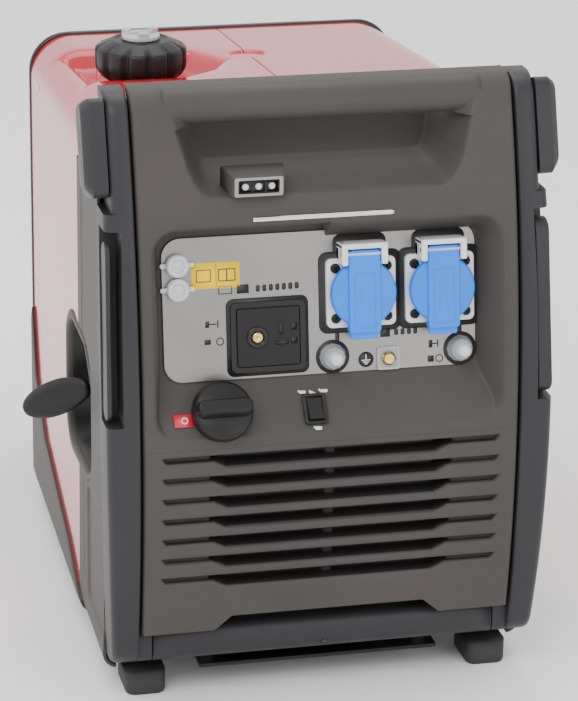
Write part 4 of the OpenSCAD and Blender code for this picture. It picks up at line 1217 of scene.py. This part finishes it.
def build_bezel():
    """Rim, well and ribs of the starter recess."""
    m = side_matrix(BEZEL_Y, BEZEL_Z)
    w, h = BEZEL_W, BEZEL_H

    def oval(inset, shift=0.0):
        """Oval outline with its top front corner cut slantwise."""
        limit = w / 2 + h / 2 - 34 - inset
        pts = []
        for a, b in rrect(w - 2 * inset, h - 2 * inset, 33 - inset * 0.7, shift, 0, 12):
            over = max(0.0, (a + b * 1.15) - limit)
            pts.append((a - over * 0.5, b - over * 0.35))
        return pts

    def rim(bm):
        steps = ((0.5, -2.0), (-0.5, 0.8), (0.2, 2.4), (2.0, 3.2), (6.0, 3.0), (8.0, 1.6),
                 (8.8, -1.0), (9.2, -6))
        funnel(bm, [(oval(inset), height) for inset, height in steps])
    plate_piece("bezel_rim", rim, PANEL, m, replaces=["starter_bezel"])

    def well(bm):
        steps = ((8.6, 0, -1.5), (10.0, 0, -3.2), (13.0, 0, -16), (20.0, 4, -26), (25, 6, -27))
        rows = funnel(bm, [(oval(inset, shift), height) for inset, shift, height in steps])
        bm.faces.new(rows[-1])
    plate_piece("bezel_well", well, BLACK, m, width=0.0)

    def ribs(bm):
        for k in (-1, 1):
            add_slab(bm, (w * 0.55, 2.4, 0.6), (4, k * h * 0.26), -27, -15, 3)
        add_lathe(bm, [(7.2, -27), (7.4, -22.6), (10.0, -22.4), (11.0, -24), (11.2, -27)], 32)
    plate_piece("bezel_ribs", ribs, GLOSS_BLACK, m, width=0.4)


def build_grip():
    """Leaf-shaped starter grip, leaning out and back."""
    path = [(-162, -127, 212), (-170, -119, 208), (-178, -112, 203), (-187, -106, 197), (-196, -100.5, 191.5),
            (-203, -96.5, 187.5), (-208.5, -94, 184.5), (-211.8, -92.6, 182.8), (-212.9, -92, 182.2)]
    size = [(6.5, 4.0), (11.0, 5.6), (14.5, 6.8), (15.6, 7.2), (14.8, 6.8), (12.4, 6.0), (9.2, 4.8),
            (5.6, 3.4), (2.0, 1.4)]
    rings = []
    for i, (p, (w, t)) in enumerate(zip(path, size)):
        a = Vector(path[max(0, i - 1)])
        b = Vector(path[min(len(path) - 1, i + 1)])
        along = (b - a).normalized()
        up = Vector((0, 0, 1))
        up = (up - along * up.dot(along)).normalized()
        out = along.cross(up)
        c = Vector(p)
        rings.append([tuple(c + up * w * math.cos(k * math.tau / 28) + out * t * math.sin(k * math.tau / 28))
                      for k in range(28)])
    obj = loft("starter_handle", rings)
    sub = obj.modifiers.new("smooth", "SUBSURF")
    sub.levels = sub.render_levels = 2
    finish_piece(obj, BLACK, "starter_grip", ["starter_grip"])


def build_fuel_cap():
    r0 = (CAP_HI[0] - CAP_LO[0]) / 2
    base = CAP_HI[2] - 33
    rings = []
    section = [(-14.0, 19.0, 0.0), (0.0, 19.0, 0.0), (0.4, r0 - 8.0, 0.2), (3.5, r0 - 4.0, 0.7),
               (9.0, r0 - 0.6, 1.0), (14.0, r0, 1.0), (24.6, r0, 1.0), (26.4, r0 - 0.8, 0.85),
               (27.4, r0 - 2.2, 0.5), (32.4, r0 - 13.0, 0.0), (33.0, r0 - 14.4, 0.0), (33.0, r0 - 16.5, 0.0),
               (32.2, r0 - 17.0, 0.0), (32.2, 17.6, 0.0), (33.0, 17.0, 0.0)]
    for z, r, wave in section:
        ring = []
        for i in range(216):
            a = math.tau * i / 216
            dip = 3.4 * max(0.0, math.cos(12 * a)) ** 1.6 * wave
            ring.append((FILLER[0] + (r - dip) * math.cos(a), FILLER[1] + (r - dip) * math.sin(a), base + z))
        rings.append(ring)
    obj = loft("fuel_cap_body", rings)
    finish_piece(obj, BLACK, "fuel_cap", ["fuel_cap"])
    soften(obj, 0.4, 2, 50)
    lever = bmesh.new()
    add_lathe(lever, [(0, 0.0), (15.4, 0.0), (16.0, 0.6), (16.0, 3.0), (15.2, 3.6), (0, 4.4)], 72)
    for k in range(3):
        a = math.radians(30 + 120 * k)
        c, s = math.cos(a), math.sin(a)
        pts = [(9.0 * c - t * s + u * c, 9.0 * s + t * c + u * s)
               for u, t in ((0, -4.6), (6.6, -4.2), (6.6, 4.2), (0, 4.6))]
        add_prism(lever, pts, 2.0, 7.4)
    add_slab(lever, (20, 3.2, 1.4), (0, 0), 3.6, 6.2, 4)
    low = box_mm("vent_lever")[0][2]
    lever_obj = from_bmesh("vent_disc", lever)
    finish_piece(lever_obj, SILVER, "vent_lever", ["vent_lever"], upright(*FILLER, low))
    soften(lever_obj, 0.5, 2, 40)
    bm = bmesh.new()
    lean = math.degrees(math.atan2(REAR_DROP, RIM_Y - BODY_FRONT))
    add_lathe(bm, [(0, 6.9), (14.6, 6.9), (15.6, 6.75), (16.1, 6.3), (16.1, 5.9), (15.2, 5.7), (15.2, 0.4),
                   (14.6, 0), (0, 0)], 56)
    m = upright(*PLUG, float(top_z(PLUG[1])) - 6.5) @ Matrix.Rotation(math.radians(-lean), 4, "X")
    finish_piece(from_bmesh("plug_disc", bm), RED, "plug_cover", ["plug_cover"], m)


def build_rear_rim():
    """Lighter strip where the rear cover meets the red covers."""
    rows = []
    for back, grow in ((-0.2, 0.2), (-0.2, 2.6), (1.4, 3.4), (4.5, 3.4), (5.5, 2.4), (5.5, 0.2)):
        y = RIM_Y + back
        half = 164 + grow
        top = BODY_TOP - REAR_DROP + grow * 1.2
        low = 190.0
        ring = [(-half, y, low)]
        for i in range(13):
            a = math.radians(180 - 90 * i / 12)
            across, up = SHOULDER * math.cos(a), SHOULDER * math.sin(a)
            ring.append((-half + SHOULDER + across, y, top - SHOULDER + up))
        ring += [(-x, yy, z) for x, yy, z in ring[::-1]]
        rows.append(ring)
    bm = bmesh.new()
    verts = place_rings(bm, rows)
    skin(bm, verts + verts[:1], closed=False, caps=False)
    finish_piece(from_bmesh("rear_rim_strip", bm), GLOSS_BLACK, "root")


def build_wheels():
    """Tread blocks round each tyre."""
    for _, name in SIDES:
        lo, hi = box_mm(name + "_tyre")
        c = (lo + hi) / 2
        r = (hi[2] - lo[2]) / 2
        bm = bmesh.new()
        for i in range(36):
            a = math.tau * i / 36
            for k in (-1, 1):
                box = bmesh.ops.create_cube(bm, size=1.0)["verts"]
                shape = Matrix.Rotation(a + k * 0.04, 4, "X") @ Matrix.Translation((k * 5.0, 0, r - 0.2)) @ \
                    Matrix.Diagonal((8.5, 5.0, 1.2, 1))
                bmesh.ops.transform(bm, matrix=shape, verts=box)
        obj = from_bmesh(name + "_tread", bm)
        m = Matrix.Translation(Vector(tuple(c * MM))) @ Matrix.Scale(MM, 4)
        finish_piece(obj, RUBBER, name + "_wheel", matrix=m, smooth=False)
        soften(obj, 0.5, 2)


# ---------------------------------------------------------------- what the frame brings along
CARRIED = {
    "rear_cover": FRAME, "base_pan": BLACK, "axle": STEEL, "left_hub": BLACK, "right_hub": BLACK,
    "left_tyre": RUBBER, "right_tyre": RUBBER, "parallel_jacks": BLACK, "fuel_tank": BLACK,
    "engine_block": CAST, "cylinder": CAST, "spark_plug": WHITE, "carburettor": CAST,
    "air_cleaner": BLACK, "fuel_hose": RUBBER, "muffler": STEEL, "tail_pipe": STEEL,
    "stator": COPPER, "starter_housing": BLACK, "inverter": CAST, "engine_mounts": RUBBER,
    "starter_reel": WHITE, "flywheel": CAST,
}


def dress_nodes():
    for name, material in CARRIED.items():
        data = frame["nodes"][name].data
        data.materials.clear()
        data.materials.append(material)


def build_all():
    build_front_panel()
    build_grip_bar()
    build_panel_back()
    for side, word in SIDES:
        build_pillar(side, word + "_pillar_body", word + "_pillar")
    for side, word in SIDES:
        build_carry_handle(side, word + "_carry_handle")
    build_pads()
    build_painted_seam_shade()
    build_cross_bar()
    build_feet()
    build_plate()
    build_prints()
    for x, (_, word) in zip(SOCKET_X, SIDES):
        build_socket(x, word)
    build_screws()
    build_dc()
    for x, (_, word) in zip(BREAKER_X, SIDES):
        build_breaker(x, word)
    build_earth()
    build_jacks()
    build_knob()
    build_rocker()
    build_indicator()
    build_trim()
    for side, word in SIDES:
        build_cover(side, word + "_cover")
        build_surround(side, word + "_surround")
        build_skirt(side, word + "_skirt")
    build_bezel()
    build_grip()
    build_fuel_cap()
    build_rear_rim()
    build_wheels()
    dress_nodes()


# ---------------------------------------------------------------- floor, light, camera
def area(name, place, aim, size, power, color=(1, 1, 1)):
    data = bpy.data.lights.new(name, "AREA")
    data.shape = "RECTANGLE"
    data.size, data.size_y = size
    data.energy = power
    data.color = color
    lamp = bpy.data.objects.new(name, data)
    lamp.location = place
    lamp.rotation_euler = (Vector(aim) - Vector(place)).to_track_quat("-Z", "Y").to_euler()
    bpy.context.scene.collection.objects.link(lamp)
    return lamp


def build_stage():
    bm = bmesh.new()
    bmesh.ops.create_grid(bm, x_segments=2, y_segments=2, size=9.0)
    floor_mesh = bpy.data.meshes.new("floor")
    bm.to_mesh(floor_mesh)
    bm.free()
    floor = bpy.data.objects.new("floor", floor_mesh)
    bpy.context.scene.collection.objects.link(floor)
    floor.data.materials.append(moulded("floor_paint", (0.93, 0.93, 0.93), 0.8, 0.01, 60, 0.02))
    world = bpy.data.worlds.new("studio")
    world.use_nodes = True
    background = world.node_tree.nodes["Background"]
    background.inputs["Color"].default_value = (1.0, 1.0, 1.0, 1)
    background.inputs["Strength"].default_value = 1.3
    bpy.context.scene.world = world
    area("key", (-1.3, -1.9, 2.5), (0, 0, 0.2), (1.6, 1.6), 40)
    area("side_card", (-2.4, 0.4, 0.9), (-0.1, 0, 0.25), (1.8, 2.2), 16)
    area("front_fill", (1.4, -2.6, 1.0), (0, -0.2, 0.25), (1.4, 1.4), 12)
    area("top_card", (0.0, 0.5, 2.4), (0, 0, 0.4), (1.6, 1.6), 24)


def build_camera():
    yaw, pitch, roll = math.radians(12.43), math.radians(19.89), math.radians(0.45)
    forward = Vector((math.sin(yaw) * math.cos(pitch), math.cos(yaw) * math.cos(pitch), -math.sin(pitch)))
    right = Vector((math.cos(yaw), -math.sin(yaw), 0))
    up = right.cross(forward)
    level_x = right * math.cos(roll) + up * math.sin(roll)
    level_y = up * math.cos(roll) - right * math.sin(roll)
    turn = Matrix((level_x, level_y, -forward)).transposed().to_4x4()
    data = bpy.data.cameras.new("camera")
    data.sensor_width = 36.0
    data.lens = 151.1
    data.shift_x = 0.0939
    data.shift_y = -0.0017
    data.clip_end = 50
    camera = bpy.data.objects.new("camera", data)
    camera.matrix_world = Matrix.Translation(((-547.25 + MID) * MM, -2.38736, 1.07526)) @ turn
    bpy.context.scene.collection.objects.link(camera)
    bpy.context.scene.camera = camera


build_all()
build_stage()
build_camera()
